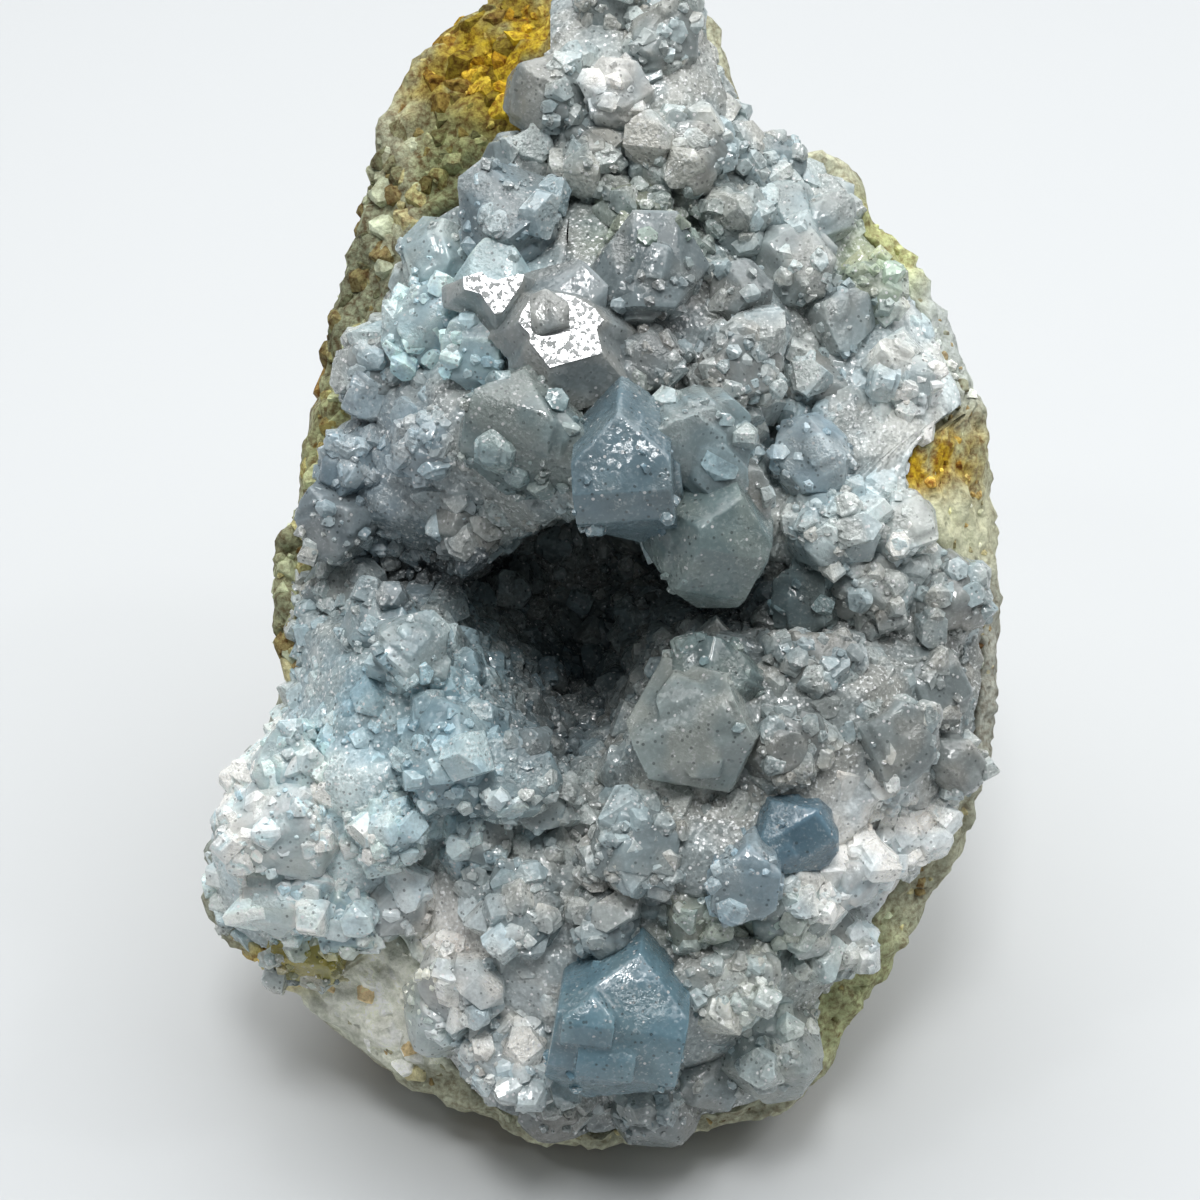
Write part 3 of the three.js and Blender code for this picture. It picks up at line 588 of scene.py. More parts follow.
# Fineness of the visible meshes, in mm or as a share of a body's size
LARGE_VOXEL, LARGE_TRIANGLES = 0.24, 1400
PROTOTYPE_VOXEL, LUMP_VOXEL = 0.10, 0.16
# Points around the meshes of rock and skin, and their rings over bed, rim and back, and over hollow and face
ROCK_SPOKES, BED_RINGS, RIM_RINGS, BACK_RINGS = 480, (5, 6), 32, 67
SKIN_SPOKES, HOLLOW_RINGS, FACE_RINGS = 300, 32, 80
# Small crystals: piece, spacing, least and largest size, number of shapes, crystals grown on each, triangles
# that it keeps if it is softened, greatest lean in degrees, seed, and the share of its size that is sunk
DRUSE = [
    ("medium_crystals", 2.15, (0.85, 1.9), 30, 3, 160, 34, 11, 0.45),
    ("small_crystals", 1.25, (0.4, 1.0), 30, 1, 66, 40, 12, 0.45),
    ("sugar_crystals", 0.7, (0.16, 0.52), 20, 0, None, 50, 13, 0.0),
]
# Lumps of rock: spacing, sizes of coarse and of fine ones, triangles that one keeps, number of shapes, faces
LUMP_FACES = 12
LUMP_SPACING, COARSE_SIZE, FINE_SIZE, LUMP_TRIANGLES, LUMP_SHAPES = 0.95, (0.25, 1.9), (0.2, 0.8), 60, 24
# Places tried over the crust, the wall and the crust's edge, how near the wall shuts one in, and how deep the
# lumpy rind goes
CRUST_SPOTS, WALL_SPOTS, RIM_SPOTS = 26000, 40000, 900
WALL_NEAR, RIND_DEPTH = 0.9, 5.5
# Tints of single lumps: pale, plain, rusty, brown and dark
ROCK_SHADES = [(1.3, 1.3, 1.3), (1.0, 1.0, 1.0), (1.0, 0.9, 0.7), (0.6, 0.48, 0.32), (0.4, 0.4, 0.34)]
SKIN_THICKNESS, SKIN_MARGIN = 2.3, 0.3
# Gap between crust and bare rim, how far the rim is sunk, and how near the rings come to the back's pole
RIM_GAP, RIM_SUNK, BACK_END = 0.2, 0.8, 0.985
LARGE_CREASE, SMALL_CREASE = math.radians(34), math.radians(24)
# Ridges and grains of the broken rock: sizes, heights, and how far the whole is set back for them
RIDGE_SIZE, SMALL_RIDGE_SIZE, GRAIN_SIZE = 3.0, 1.3, 0.7
RIDGE_HEIGHT, GRAIN_HEIGHT, ROCK_SUNK = 1.3, 0.3, 0.7

# Steps grown on the faces of a large crystal, and how far one of them turns at most, both ways together
LARGE_STEPS = 7
STEPS = {"mirror_plate": 0, "mirror_wedge": 0, "big_blue": 3, "pale_pentagon": 4, "hanging_block": 2,
         "blue_slab": 3}
STEP_TURN = math.radians(26)
# Sizes of the steps and how far they stand out, each as the least and what chance adds, and their side shift
STEP_SHARE, STEP_OUT, STEP_SIDE = (0.28, 0.45), (0.05, 0.14), 0.8

# Painted highlight along edges, painted shade in corners between faces and on the ground between crystals,
# darker tiny crystals, and the reach of a crystal's tint towards blue
EDGE_HIGHLIGHT, CORNER_SHADE = 0.5, 0.1
SKIN_PAINTED_SHADE, TINY_SHADE = 0.84, 0.84
BLUE_SHIFT = (-0.14, 0.0, 0.08)

# Crystals lean out over the crust's edge, but not below the ground edge nor right of the right edge
RIM_LEAN = math.radians(38)
# Rows of crystals along the edge: how far outside it, how deep they sink and how far they lean
RIM_ROWS = [(-0.7, 0.4, RIM_LEAN), (0.7, 0.9, 1.8 * RIM_LEAN)]
GROUND_EDGE, RIGHT_EDGE = -40, 31
# How far the medium, small and tiny crystals stay from the edge, at the ground edge and where it is stained
GROUND_MARGINS = (2.0, 1.2, 0.3)
STAIN_MARGINS = (1.8, 0.4, 0.0)

# Patches that only the smallest crystals grow on: middle (u, w) and half widths
POROUS = [((-18, -36), (3, 5)), ((-26, -34), (4, 1.8))]

# How much of each kind of ground the medium, small and tiny crystals cover
LOBES = ("far_left_crown", "far_left_flank", "far_left_foot", "left_crown", "left_brow", "left_foot",
         "whitish_dome", "pale_lower_block", "top_crest", "left_blue_group")
CLEAN = ("big_blue", "mirror_plate", "mirror_wedge", "pale_pentagon", "hanging_block", "blue_slab",
         "deep_blue_block")
COVER = {
    "skin": (1.0, 1.0, 0.9),
    "fill": (0.95, 0.95, 0.85),
    "hollow": (0.8, 0.6, 0.5),
    **dict.fromkeys([name for name, *_ in NAMED], (0.2, 0.3, 0.35)),
    **dict.fromkeys(CLEAN, (0.0, 0.01, 0.04)),
    **dict.fromkeys(LOBES, (0.6, 0.6, 0.5)),
}


def smoothstep(x):
    x = np.clip(x, 0, 1)
    return x * x * (3 - 2 * x)


def zone_colour(points, base, zones, seed, jitter=0.1):
    """The colour of each point, from soft-edged zones whose borders wander."""
    points = np.asarray(points, float)
    colour = np.tile(np.array(base, float), (len(points), 1))
    wander = ZONE_WANDER * fractal(points, 6.0, seed), ZONE_WANDER * fractal(points, 6.0, seed + 5)
    patches = smoothstep(0.85 + 1.8 * fractal(points, 2.0, seed + 13))
    for (cu, cw), (hu, hw), tint, strength in zones:
        x = (points[:, 0] + wander[0] - cu) / hu
        y = (points[:, 1] + wander[1] - cw) / hw
        near = strength * smoothstep(ZONE_REACH - np.hypot(x, y))
        if tint[2] < STAIN_BLUE:
            near *= patches
        colour += (np.array(tint) - colour) * near[:, None]
    return np.clip(colour * (1 + jitter * fractal(points, 1.4, seed + 9)[:, None]), 0, 1)


def crystal_colour(points):
    """Colour by zone, darkened by painted shade towards the depth of the hollow."""
    points = np.asarray(points, float)
    angle, out = polar(points[:, 0], points[:, 1])
    inside = smoothstep((edge_radius("mouth", angle) * 1.15 - out) / 4)
    level = relief(points[:, 0], points[:, 1]) - points[:, 2]
    # Painted shade, growing with depth inside the hollow's mouth
    hollow_shade = HOLLOW_SHADE * inside * smoothstep((level - 1) / 8)
    return zone_colour(points, GREY, CRYSTAL_ZONES, 31) * (1 - hollow_shade[:, None])


def rock_colour(points):
    colour = zone_colour(points, ROCK_BACK, ROCK_ZONES, 41, 0.25)
    behind = smoothstep((-points[:, 2] - OUTSIDE_START) / OUTSIDE_BLEND)[:, None]
    outside = np.tile(np.array(ROCK_BACK), (len(points), 1))
    for size, low, tint, seed in OUTSIDE_STAINS:
        stain = smoothstep((fractal(points, size, seed) - low) / STAIN_SOFTNESS)[:, None]
        outside = outside + (np.array(tint) - outside) * stain * STAIN_STRENGTH
    return colour * (1 - behind) + outside * behind


# Meshes as arrays: points in face mm, and faces as the loops of all and the number of corners of each


def fill_mesh(mesh, verts, faces):
    loops, totals = faces
    mesh.vertices.add(len(verts))
    mesh.vertices.foreach_set("co", np.asarray(verts, np.float32).ravel())
    mesh.loops.add(len(loops))
    mesh.loops.foreach_set("vertex_index", np.asarray(loops, np.int32))
    mesh.polygons.add(len(totals))
    mesh.polygons.foreach_set("loop_start", (np.cumsum(totals) - totals).astype(np.int32))
    mesh.polygons.foreach_set("loop_total", np.asarray(totals, np.int32))
    mesh.update(calc_edges=True)


def paint(mesh, tint):
    rgba = np.ones((len(mesh.vertices), 4), np.float32)
    rgba[:, :3] = tint
    mesh.attributes.new("tint", "FLOAT_COLOR", "POINT").data.foreach_set("color", rgba.ravel())


def read(items, key, width=1, kind=np.float32):
    """One property of every item of a mesh, as a flat array."""
    values = np.empty(len(items) * width, kind)
    items.foreach_get(key, values)
    return values


def link_piece(name, verts, faces, material, tint, crease=math.pi):
    """A mesh piece from face-frame points, riding on the part, with hard edges from the crease angle up."""
    mesh = bpy.data.meshes.new(name)
    fill_mesh(mesh, part_points(np.asarray(verts, float)), faces)
    mesh.shade_smooth()
    paint(mesh, tint)
    mesh.validate()
    mesh.set_sharp_from_angle(angle=crease)
    mesh.materials.append(material)
    piece = bpy.data.objects.new(name, mesh)
    bpy.context.scene.collection.objects.link(piece)
    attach(piece, "root")
    return piece


def flat_arrays(faces):
    return np.concatenate(faces), np.array([len(face) for face in faces])


class Pile:
    """Closed bodies gathered into one set of arrays."""

    def __init__(self):
        self.verts, self.loops, self.totals, self.tints = [], [], [], []
        self.count = 0

    def add(self, points, faces, tint=None):
        loops, totals = faces
        self.verts.append(points)
        self.loops.append(loops + self.count)
        self.totals.append(totals)
        self.tints.append(tint)
        self.count += len(points)

    def arrays(self):
        return np.vstack(self.verts), (np.concatenate(self.loops), np.concatenate(self.totals))

    def piece(self, name, material, slot, crease):
        verts, faces = self.arrays()
        return link_piece(name, verts, faces, material, np.vstack(self.tints), crease)


def modified(verts, faces, tint, kind, **settings):
    """Points, loops, totals and tints, where it has any, of a mesh after one modifier with these settings."""
    mesh = bpy.data.meshes.new("shaping")
    fill_mesh(mesh, verts, faces)
    if tint is not None:
        paint(mesh, tint)
    body = bpy.data.objects.new("shaping", mesh)
    bpy.context.scene.collection.objects.link(body)
    modifier = body.modifiers.new("shape", kind)
    for key, value in settings.items():
        setattr(modifier, key, value)
    done = body.evaluated_get(bpy.context.evaluated_depsgraph_get()).to_mesh()
    points = read(done.vertices, "co", 3).reshape(-1, 3).astype(float)
    loops = read(done.loops, "vertex_index", kind=np.int32)
    totals = read(done.polygons, "loop_total", kind=np.int32)
    kept = None if tint is None else read(done.attributes["tint"].data, "color", 4).reshape(-1, 4)[:, :3]
    body.to_mesh_clear()
    bpy.data.objects.remove(body)
    bpy.data.meshes.remove(mesh)
    return points, loops, totals, kept


def fused(verts, faces, voxel):
    """One skin around overlapping closed bodies, as points and quads."""
    settings = {"mode": "VOXEL", "voxel_size": voxel, "adaptivity": 0}
    points, loops, totals, _ = modified(verts, faces, None, "REMESH", **settings)
    assert (totals == 4).all()
    return points, loops.reshape(-1, 4)


def neighbour_mean(values, quads):
    """The mean of each point's neighbours along the quads' sides."""
    a = quads.ravel()
    b = np.roll(quads, -1, 1).ravel()
    count = np.bincount(a, minlength=len(values)) + np.bincount(b, minlength=len(values))
    total = np.stack([np.bincount(a, values[b, k], len(values)) + np.bincount(b, values[a, k], len(values))
                      for k in range(values.shape[1])], 1)
    return total / np.maximum(count, 1)[:, None]


def point_normals(points, quads):
    p = points[quads]
    cross = np.cross(p[:, 2] - p[:, 0], p[:, 3] - p[:, 1])
    total = np.stack([sum(np.bincount(quads[:, c], cross[:, k], len(points)) for c in range(4))
                      for k in range(3)], 1)
    return total / np.maximum(np.linalg.norm(total, axis=1, keepdims=True), 1e-12)


def thinned_out(verts, quads, tint, share):
    """The mesh with fewer triangles, few on flat faces and more along the edges."""
    faces = quads.ravel(), np.full(len(quads), 4)
    points, loops, totals, kept = modified(verts, faces, tint, "DECIMATE", ratio=share)
    return points, (loops, totals), kept


def rounded(bodies, voxel, triangles, relax):
    """Overlapping bodies grown into one with soft edges: points, faces and how convex each point is."""
    pile = Pile()
    for points, faces in bodies:
        pile.add(points, faces)
    points, quads = fused(*pile.arrays(), voxel)
    for _ in range(relax):
        points = points + 0.5 * (neighbour_mean(points, quads) - points)
    spread = points
    for _ in range(4):
        spread = neighbour_mean(spread, quads)
    convex = ((points - spread) * point_normals(points, quads)).sum(1) / voxel
    share = min(1.0, triangles / (2 * len(quads)))
    points, faces, convex = thinned_out(points, quads, np.clip(0.5 + convex, 0, 1)[:, None], share)
    return points, faces, convex[:, 0] * 2 - 1


def edge_lit(tint, convex):
    """The tint, with painted highlight along edges and painted shade in the corners between faces."""
    white = EDGE_HIGHLIGHT * smoothstep(convex)[:, None]
    dull = CORNER_SHADE * smoothstep(-convex)[:, None]
    return np.clip(tint * (1 + white) * (1 - dull), 0, 1)


# Materials


def node_material(name):
    material = bpy.data.materials.new(name)
    material.use_nodes = True
    tree = material.node_tree
    tree.nodes.clear()
    out = tree.nodes.new("ShaderNodeOutputMaterial")
    shader = tree.nodes.new("ShaderNodeBsdfPrincipled")
    tree.links.new(shader.outputs[0], out.inputs["Surface"])
    return material, tree, shader


def feed(tree, socket, value):
    """Joins a socket to another, or sets its value."""
    if isinstance(value, bpy.types.NodeSocket):
        tree.links.new(value, socket)
    else:
        socket.default_value = value


def add_node(tree, kind, **values):
    """A node with its inputs, or its own settings, set by name."""
    node = tree.nodes.new("ShaderNode" + kind)
    for key, value in values.items():
        if key in node.inputs:
            feed(tree, node.inputs[key], value)
        else:
            setattr(node, key, value)
    return node


def object_coordinates(tree):
    return add_node(tree, "TexCoord").outputs["Object"]


def piece_tint(tree):
    return add_node(tree, "Attribute", attribute_name="tint").outputs["Color"]


def noise_at(tree, scale, detail=4.0, rough=0.55):
    values = {"Vector": object_coordinates(tree), "Scale": scale, "Detail": detail, "Roughness": rough}
    return add_node(tree, "TexNoise", **values).outputs["Fac"]


def cells_at(tree, scale):
    return add_node(tree, "TexVoronoi", Vector=object_coordinates(tree), Scale=scale).outputs


def channels(tree, colour):
    return add_node(tree, "SeparateColor", Color=colour).outputs


def mapped(tree, value, low, high, to_low, to_high):
    """The value's range from low to high, taken to another range and held there."""
    values = {"Value": value, "From Min": low, "From Max": high, "To Min": to_low, "To Max": to_high}
    return add_node(tree, "MapRange", **values).outputs["Result"]


def between(tree, factor, first, last):
    return mapped(tree, factor, 0.0, 1.0, first, last)


def joined(tree, kind, operation, *inputs):
    """A Math or VectorMath node fed by sockets or numbers."""
    node = add_node(tree, kind, operation=operation)
    for socket, value in zip(node.inputs, inputs):
        feed(tree, socket, value)
    return node.outputs["Value"] if operation == "DOT_PRODUCT" else node.outputs[0]


def product(tree, first, second):
    return joined(tree, "Math", "MULTIPLY", first, second)


def tinted(tree, colour, tint, factor):
    """The colour times a tint and times a factor."""
    both = joined(tree, "VectorMath", "MULTIPLY", colour, tint)
    return add_node(tree, "VectorMath", operation="SCALE", Vector=both, Scale=factor).outputs[0]


def mixed(tree, factor, first, second):
    node = add_node(tree, "Mix", data_type="RGBA")
    for socket, value in zip((node.inputs[0], node.inputs[6], node.inputs[7]), (factor, first, second)):
        feed(tree, socket, (*value, 1) if isinstance(value, tuple) else value)
    return node.outputs[2]


def bumped(tree, shader, height, distance, strength, **under):
    """A bump on the shader, over the one given as Normal."""
    node = add_node(tree, "Bump", Distance=distance, Height=height, Strength=strength, **under)
    tree.links.new(node.outputs[0], shader.inputs["Normal"])
    return node.outputs[0]


def tilted_facets(tree, cells):
    """A height that tilts every small cell its own way, as a coat of tiny crystal faces does."""
    away = joined(tree, "VectorMath", "SUBTRACT", object_coordinates(tree), cells["Position"])
    lean = joined(tree, "VectorMath", "SUBTRACT", cells["Color"], (0.5, 0.5, 0.5))
    return joined(tree, "VectorMath", "DOT_PRODUCT", away, lean)


CELESTITE_IOR = 1.62
# Sizes of the crystals' patterns: more is finer
COAT_SCALE, CLOUD_SCALE, GRAIN_SCALE, CELL_SCALE, GLASSY_SCALE, PIT_SCALE = 230, 420, 2600, 2500, 700, 2300
BARE_SHIFT, COAT_SHIFT = (0.86, 0.93, 0.94), (1.08, 1.07, 1.02)
# Colours of pale grains, which also stand in for painted glints, of dark pits, and of white painted glints
FROST_AND_GLINT, PIT, GLINT_PAINT = (0.86, 0.88, 0.88), (0.05, 0.06, 0.06), (1.0, 1.0, 1.0)


def crystal_material(name, transmission, roughness, grain, facets, glint_share, sugar):
    """Milky celestite, part see-through: bluish and clear in places, with a coat of pale grains in others.

    Grain and facets set how strong the fine relief is, the glint share how many cells get a white spot
    painted on as a glint, and sugar how pale and uneven the grains make it; the pale grains also stand in for
    painted glints.
    """
    material, tree, shader = node_material(name)
    coat = mapped(tree, noise_at(tree, COAT_SCALE, 1.0), 0.42, 0.58, 0.0, 1.0)
    fine = noise_at(tree, GRAIN_SCALE, 2.0, 0.6)
    cloud = mapped(tree, noise_at(tree, CLOUD_SCALE, 1.0), 0.3, 0.7, 0.94, 1.14)
    mottle = mapped(tree, fine, 0.3, 0.7, 1 - 0.2 * sugar, 1 + 0.2 * sugar)
    shift = mixed(tree, coat, BARE_SHIFT, COAT_SHIFT)
    colour = tinted(tree, piece_tint(tree), shift, product(tree, cloud, mottle))
    # Pale grains of the coat, partly real grains and partly painted glints
    frost_and_glint = product(tree, mapped(tree, fine, 0.59, 0.65, 0.0, 0.9 * sugar), between(tree, coat, 0.3, 1.0))
    colour = mixed(tree, frost_and_glint, colour, FROST_AND_GLINT)
    cells = cells_at(tree, CELL_SCALE)
    _, polished, spotted = channels(tree, cells["Color"])
    spot = mapped(tree, cells["Distance"], 0.3, 0.42, 1.0, 0.0)
    pit = product(tree, spot, mapped(tree, spotted, 0.1, 0.12, 0.6, 0.0))
    colour = mixed(tree, pit, colour, PIT)
    # White spots painted into the base colour as glints
    painted_glint = product(tree, spot, mapped(tree, spotted, 1 - glint_share, 1.02 - glint_share, 0.0, 1.0))
    feed(tree, shader.inputs["Base Color"], mixed(tree, painted_glint, colour, GLINT_PAINT))

    dull = mapped(tree, channels(tree, cells_at(tree, GLASSY_SCALE)["Color"])[0], 0.24, 0.28, 0.0, 1.0)
    gloss = mapped(tree, polished, 0.64, 0.68, between(tree, coat, 0.2, roughness), 0.08)
    feed(tree, shader.inputs["Roughness"], product(tree, gloss, between(tree, dull, 0.35, 1.0)))
    feed(tree, shader.inputs["IOR"], CELESTITE_IOR)
    feed(tree, shader.inputs["Transmission Weight"], transmission)
    strength = product(tree, between(tree, coat, 0.25 * grain, 1.2 * grain), between(tree, dull, 0.3, 1.0))
    under = bumped(tree, shader, fine, 0.0005, strength)
    tilt = between(tree, dull, 0.3 * facets, facets)
    bumped(tree, shader, tilted_facets(tree, cells), 1.0, tilt, Normal=under)
    return material


def plate_material():
    """A flat, polished crystal face with small dull pits."""
    material, tree, shader = node_material("celestite_plate")
    feed(tree, shader.inputs["Base Color"], piece_tint(tree))
    pits = mapped(tree, noise_at(tree, PIT_SCALE, 3.0), 0.54, 0.6, 0.0, 1.0)
    feed(tree, shader.inputs["Roughness"], between(tree, pits, 0.04, 0.7))
    feed(tree, shader.inputs["IOR"], CELESTITE_IOR)
    feed(tree, shader.inputs["Transmission Weight"], 0.3)
    bumped(tree, shader, pits, 0.0001, 0.5)
    return material


# Sizes of the rock's patterns, and what its grains do to rusty and to pale rock
BLOTCH_SCALE, ROCK_GRAIN_SCALE, WORN_SCALE = 260, 1500, 500
WAVE_SCALE, HOLE_SCALE, SAND_SCALE = 700, 420, 2400
RUST_SHADE, RUST_LIGHT = (0.5, 0.31, 0.2), (1.5, 1.45, 1.25)
PALE_SHADE, PALE_LIGHT = (0.8, 0.82, 0.74), (1.12, 1.12, 1.08)


def rock_material():
    """Carbonate rock, pale with fine grains or rusty with strong ones by its tint, wavy and pitted."""
    material, tree, shader = node_material("matrix")
    tint = piece_tint(tree)
    blotch = mapped(tree, noise_at(tree, BLOTCH_SCALE, 6.0, 0.65), 0.3, 0.7, 0.7, 1.3)
    grains = mapped(tree, noise_at(tree, ROCK_GRAIN_SCALE, 4.0, 0.65), 0.36, 0.62, 0.0, 1.0)
    rusty, pale = mixed(tree, grains, RUST_SHADE, RUST_LIGHT), mixed(tree, grains, PALE_SHADE, PALE_LIGHT)
    speckle = mixed(tree, mapped(tree, channels(tree, tint)[2], 0.15, 0.55, 0.0, 1.0), rusty, pale)
    feed(tree, shader.inputs["Base Color"], tinted(tree, tint, speckle, blotch))
    feed(tree, shader.inputs["Specular IOR Level"], 0.2)
    feed(tree, shader.inputs["Roughness"], mapped(tree, noise_at(tree, WORN_SCALE), 0.3, 0.7, 0.62, 0.92))
    waves = bumped(tree, shader, noise_at(tree, WAVE_SCALE, 6.0, 0.7), 0.0008, 0.7)
    holes = mapped(tree, cells_at(tree, HOLE_SCALE)["Distance"], 0.08, 0.24, 0.0, 1.0)
    pitted = bumped(tree, shader, holes, 0.0004, 0.6, Normal=waves)
    bumped(tree, shader, cells_at(tree, SAND_SCALE)["Distance"], 0.0002, 0.3, Normal=pitted)
    return material


CLEAR = crystal_material(
    "celestite_clear", transmission=0.5, roughness=0.26, grain=0.35, facets=0.25, glint_share=0.05, sugar=0.4
)
MILKY = crystal_material(
    "celestite_milky", transmission=0.24, roughness=0.34, grain=0.45, facets=0.4, glint_share=0.1, sugar=0.8
)
SUGAR = crystal_material(
    "celestite_sugar", transmission=0, roughness=0.4, grain=0.4, facets=0.6, glint_share=0.12, sugar=1.0
)
MIRROR = plate_material()
ROCK = rock_material()


# The rock, as fine rings


def ring_faces(rings, spokes):
    """Quads between rings of points and fans over both ends."""
    here = np.arange(spokes)
    after = (here + 1) % spokes
    ring = np.arange(rings - 1)[:, None] * spokes
    quads = np.stack([ring + here, ring + here + spokes, ring + after + spokes, ring + after], -1)
    start = np.stack([np.full(spokes, rings * spokes), here, after], -1)
    end = (rings - 1) * spokes
    stop = np.stack([np.full(spokes, rings * spokes + 1), end + after, end + here], -1)
    loops = np.concatenate([quads.ravel(), start.ravel(), stop.ravel()])
    totals = np.concatenate([np.full(ring.size * spokes, 4), np.full(2 * spokes, 3)])
    return loops, totals


def ring_normals(grid):
    along = np.gradient(grid, axis=0)
    around = np.roll(grid, -1, 1) - np.roll(grid, 1, 1)
    normal = np.cross(along, around)
    return normal / np.maximum(np.linalg.norm(normal, axis=2, keepdims=True), 1e-9)


def closed_grid(grid):
    flat = grid.reshape(-1, 3)
    flat = np.vstack([flat, grid[0].mean(0), grid[-1].mean(0)])
    return flat, ring_faces(len(grid), grid.shape[1])


def ridged(points, size, seed):
    """Noise from -0.5 to 0.5 with sharp crests."""
    return 0.5 - np.abs(value_noise(points, size, seed))


def rock_grid():
    angles = np.linspace(0, 2 * math.pi, ROCK_SPOKES, endpoint=False)
    same = np.ones(ROCK_SPOKES)
    bed = [in_hollow(angles, same * s, CRUST_THICKNESS) for s in np.linspace(0.1, 1, BED_RINGS[0])]
    inner = edge_radius("mouth", angles) + CRUST_THICKNESS
    crust = edge_radius("crust", angles)
    for s in np.linspace(0.1, 1, BED_RINGS[1]):
        bed.append(on_face(angles, inner + (crust - inner) * s, CRUST_THICKNESS))
    wall = edge_radius("wall", angles)
    rim = crust + RIM_GAP
    bare = [on_face(angles, rim + (wall - rim) * s, RIM_SUNK) for s in np.linspace(0, 1, RIM_RINGS)]
    back = [on_back(angles, same * s * BACK_END) for s in (np.arange(1, BACK_RINGS + 1) / BACK_RINGS) ** 0.9]
    grid = np.array(bed + bare + back)
    normal = -ring_normals(grid)
    # Smooth in the bed, rough on the bare rim, and nearly smooth again on the ground back
    first, last = len(bed), len(bed) + RIM_RINGS
    turns = [first, first + 2, last, last + 4, last + 12]
    rough = np.interp(np.arange(len(grid)), turns, [0, 1, 1, 0.5, 0.12])
    flat = grid.reshape(-1, 3)
    ridges = ridged(flat, RIDGE_SIZE, 3) + 0.5 * ridged(flat, SMALL_RIDGE_SIZE, 4)
    lumps = RIDGE_HEIGHT * ridges + GRAIN_HEIGHT * fractal(flat, GRAIN_SIZE, 5, 2) - ROCK_SUNK
    grid = grid + normal * (lumps.reshape(grid.shape[:2]) * rough[:, None])[..., None]
    world = part_points(grid.reshape(-1, 3))
    world[:, 2] = np.maximum(world[:, 2], 0)
    return face_points(world).reshape(grid.shape)


def make_rock():
    verts, faces = closed_grid(rock_grid())
    piece = link_piece("rock", verts, faces, ROCK, rock_colour(verts))
    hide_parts("geode_wall")


# The crust's skin


def make_skin():
    """The sugary ground that the crystals stand on, as a closed sheet over face and hollow."""
    angles = np.linspace(0, 2 * math.pi, SKIN_SPOKES, endpoint=False)
    same = np.ones(SKIN_SPOKES)
    mouth = edge_radius("mouth", angles)
    crust = edge_radius("crust", angles) - SKIN_MARGIN
    hollow = [in_hollow(angles, same * s, 0) for s in np.linspace(0.04, 1, HOLLOW_RINGS)]
    face = [on_face(angles, mouth + (crust - mouth) * s, 0) for s in np.linspace(0, 1, FACE_RINGS)[1:]]
    top = np.array(hollow + face)
    flat = top.reshape(-1, 3)
    lumps = 0.6 * fractal(flat, 2.2, 21) + 0.5 * (0.4 - np.abs(value_noise(flat, 1.1, 22))) - 0.5
    top = top - ring_normals(top) * lumps.reshape(top.shape[:2])[..., None]
    under = [on_face(angles, mouth + (crust - mouth) * s, SKIN_THICKNESS) for s in (0.98, 0.5, 0.1)]
    under += [in_hollow(angles, same * s, SKIN_THICKNESS) for s in (1, 0.6, 0.2)]
    verts, faces = closed_grid(np.concatenate([top, np.array(under)]))
    # The ground between the crystals is darkened by painted shade
    piece = link_piece("druse_skin", verts, faces, SUGAR, crystal_colour(verts) * SKIN_PAINTED_SHADE)
    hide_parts("crystal_crust")


# Places for the small crystals


def mesh_arrays(name):
    """A CAD node's points in the face frame, and its triangles."""
    mesh = next(o for o in bpy.data.objects if o.get("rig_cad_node") == name).data
    mesh.calc_loop_triangles()
    tris = read(mesh.loop_triangles, "vertices", 3, np.int32)
    return face_points(read(mesh.vertices, "co", 3, float).reshape(-1, 3)), tris.reshape(-1, 3)


def spread_over(name, count, seed):
    """Points spread evenly over a CAD node, with the surface's direction at each."""
    points, tris = mesh_arrays(name)
    rng = np.random.default_rng(seed)
    a, b, c = (points[tris[:, k]] for k in range(3))
    cross = np.cross(b - a, c - a)
    area = np.linalg.norm(cross, axis=1)
    normals = cross / np.maximum(area, 1e-12)[:, None]
    pick = rng.choice(len(area), count, p=area / area.sum())
    r1, r2 = np.sqrt(rng.random(count)), rng.random(count)
    spots = a[pick] * (1 - r1)[:, None] + b[pick] * (r1 * (1 - r2))[:, None] + c[pick] * (r1 * r2)[:, None]
    return spots, normals[pick]


def open_samples():
    """Points over the crust's open side, each with the surface's direction."""
    wall = mesh_arrays("geode_wall")
    wall_tree = BVHTree.FromPolygons([Vector(p) for p in wall[0]], wall[1].tolist())
    found = []
    for point, normal in zip(*spread_over("crystal_crust", CRUST_SPOTS, SEEDS["crust"])):
        if wall_tree.ray_cast(Vector(point), Vector(normal), WALL_NEAR)[0] is None:
            found.append((point, normal))
    return found


FLAT_NORMALS = [np.array([n for n, _ in c["planes"]]) @ c["matrix"].T for c in CRYSTALS]
FLAT_DISTS = [np.array([d for _, d in c["planes"]]) + n @ c["root"] for c, n in zip(CRYSTALS, FLAT_NORMALS)]
ROOTS = np.array([c["root"] for c in CRYSTALS])
REACH = np.array([c["radius"] + c["length"] for c in CRYSTALS])


def crystal_under(point):
    """The name of the solids' crystal whose face this point lies on."""
    for i in np.where(np.linalg.norm(ROOTS - point, axis=1) < REACH + 1)[0]:
        if abs((FLAT_NORMALS[i] @ point - FLAT_DISTS[i]).max()) < 0.03:
            return CRYSTALS[i]["name"]
    return "skin"


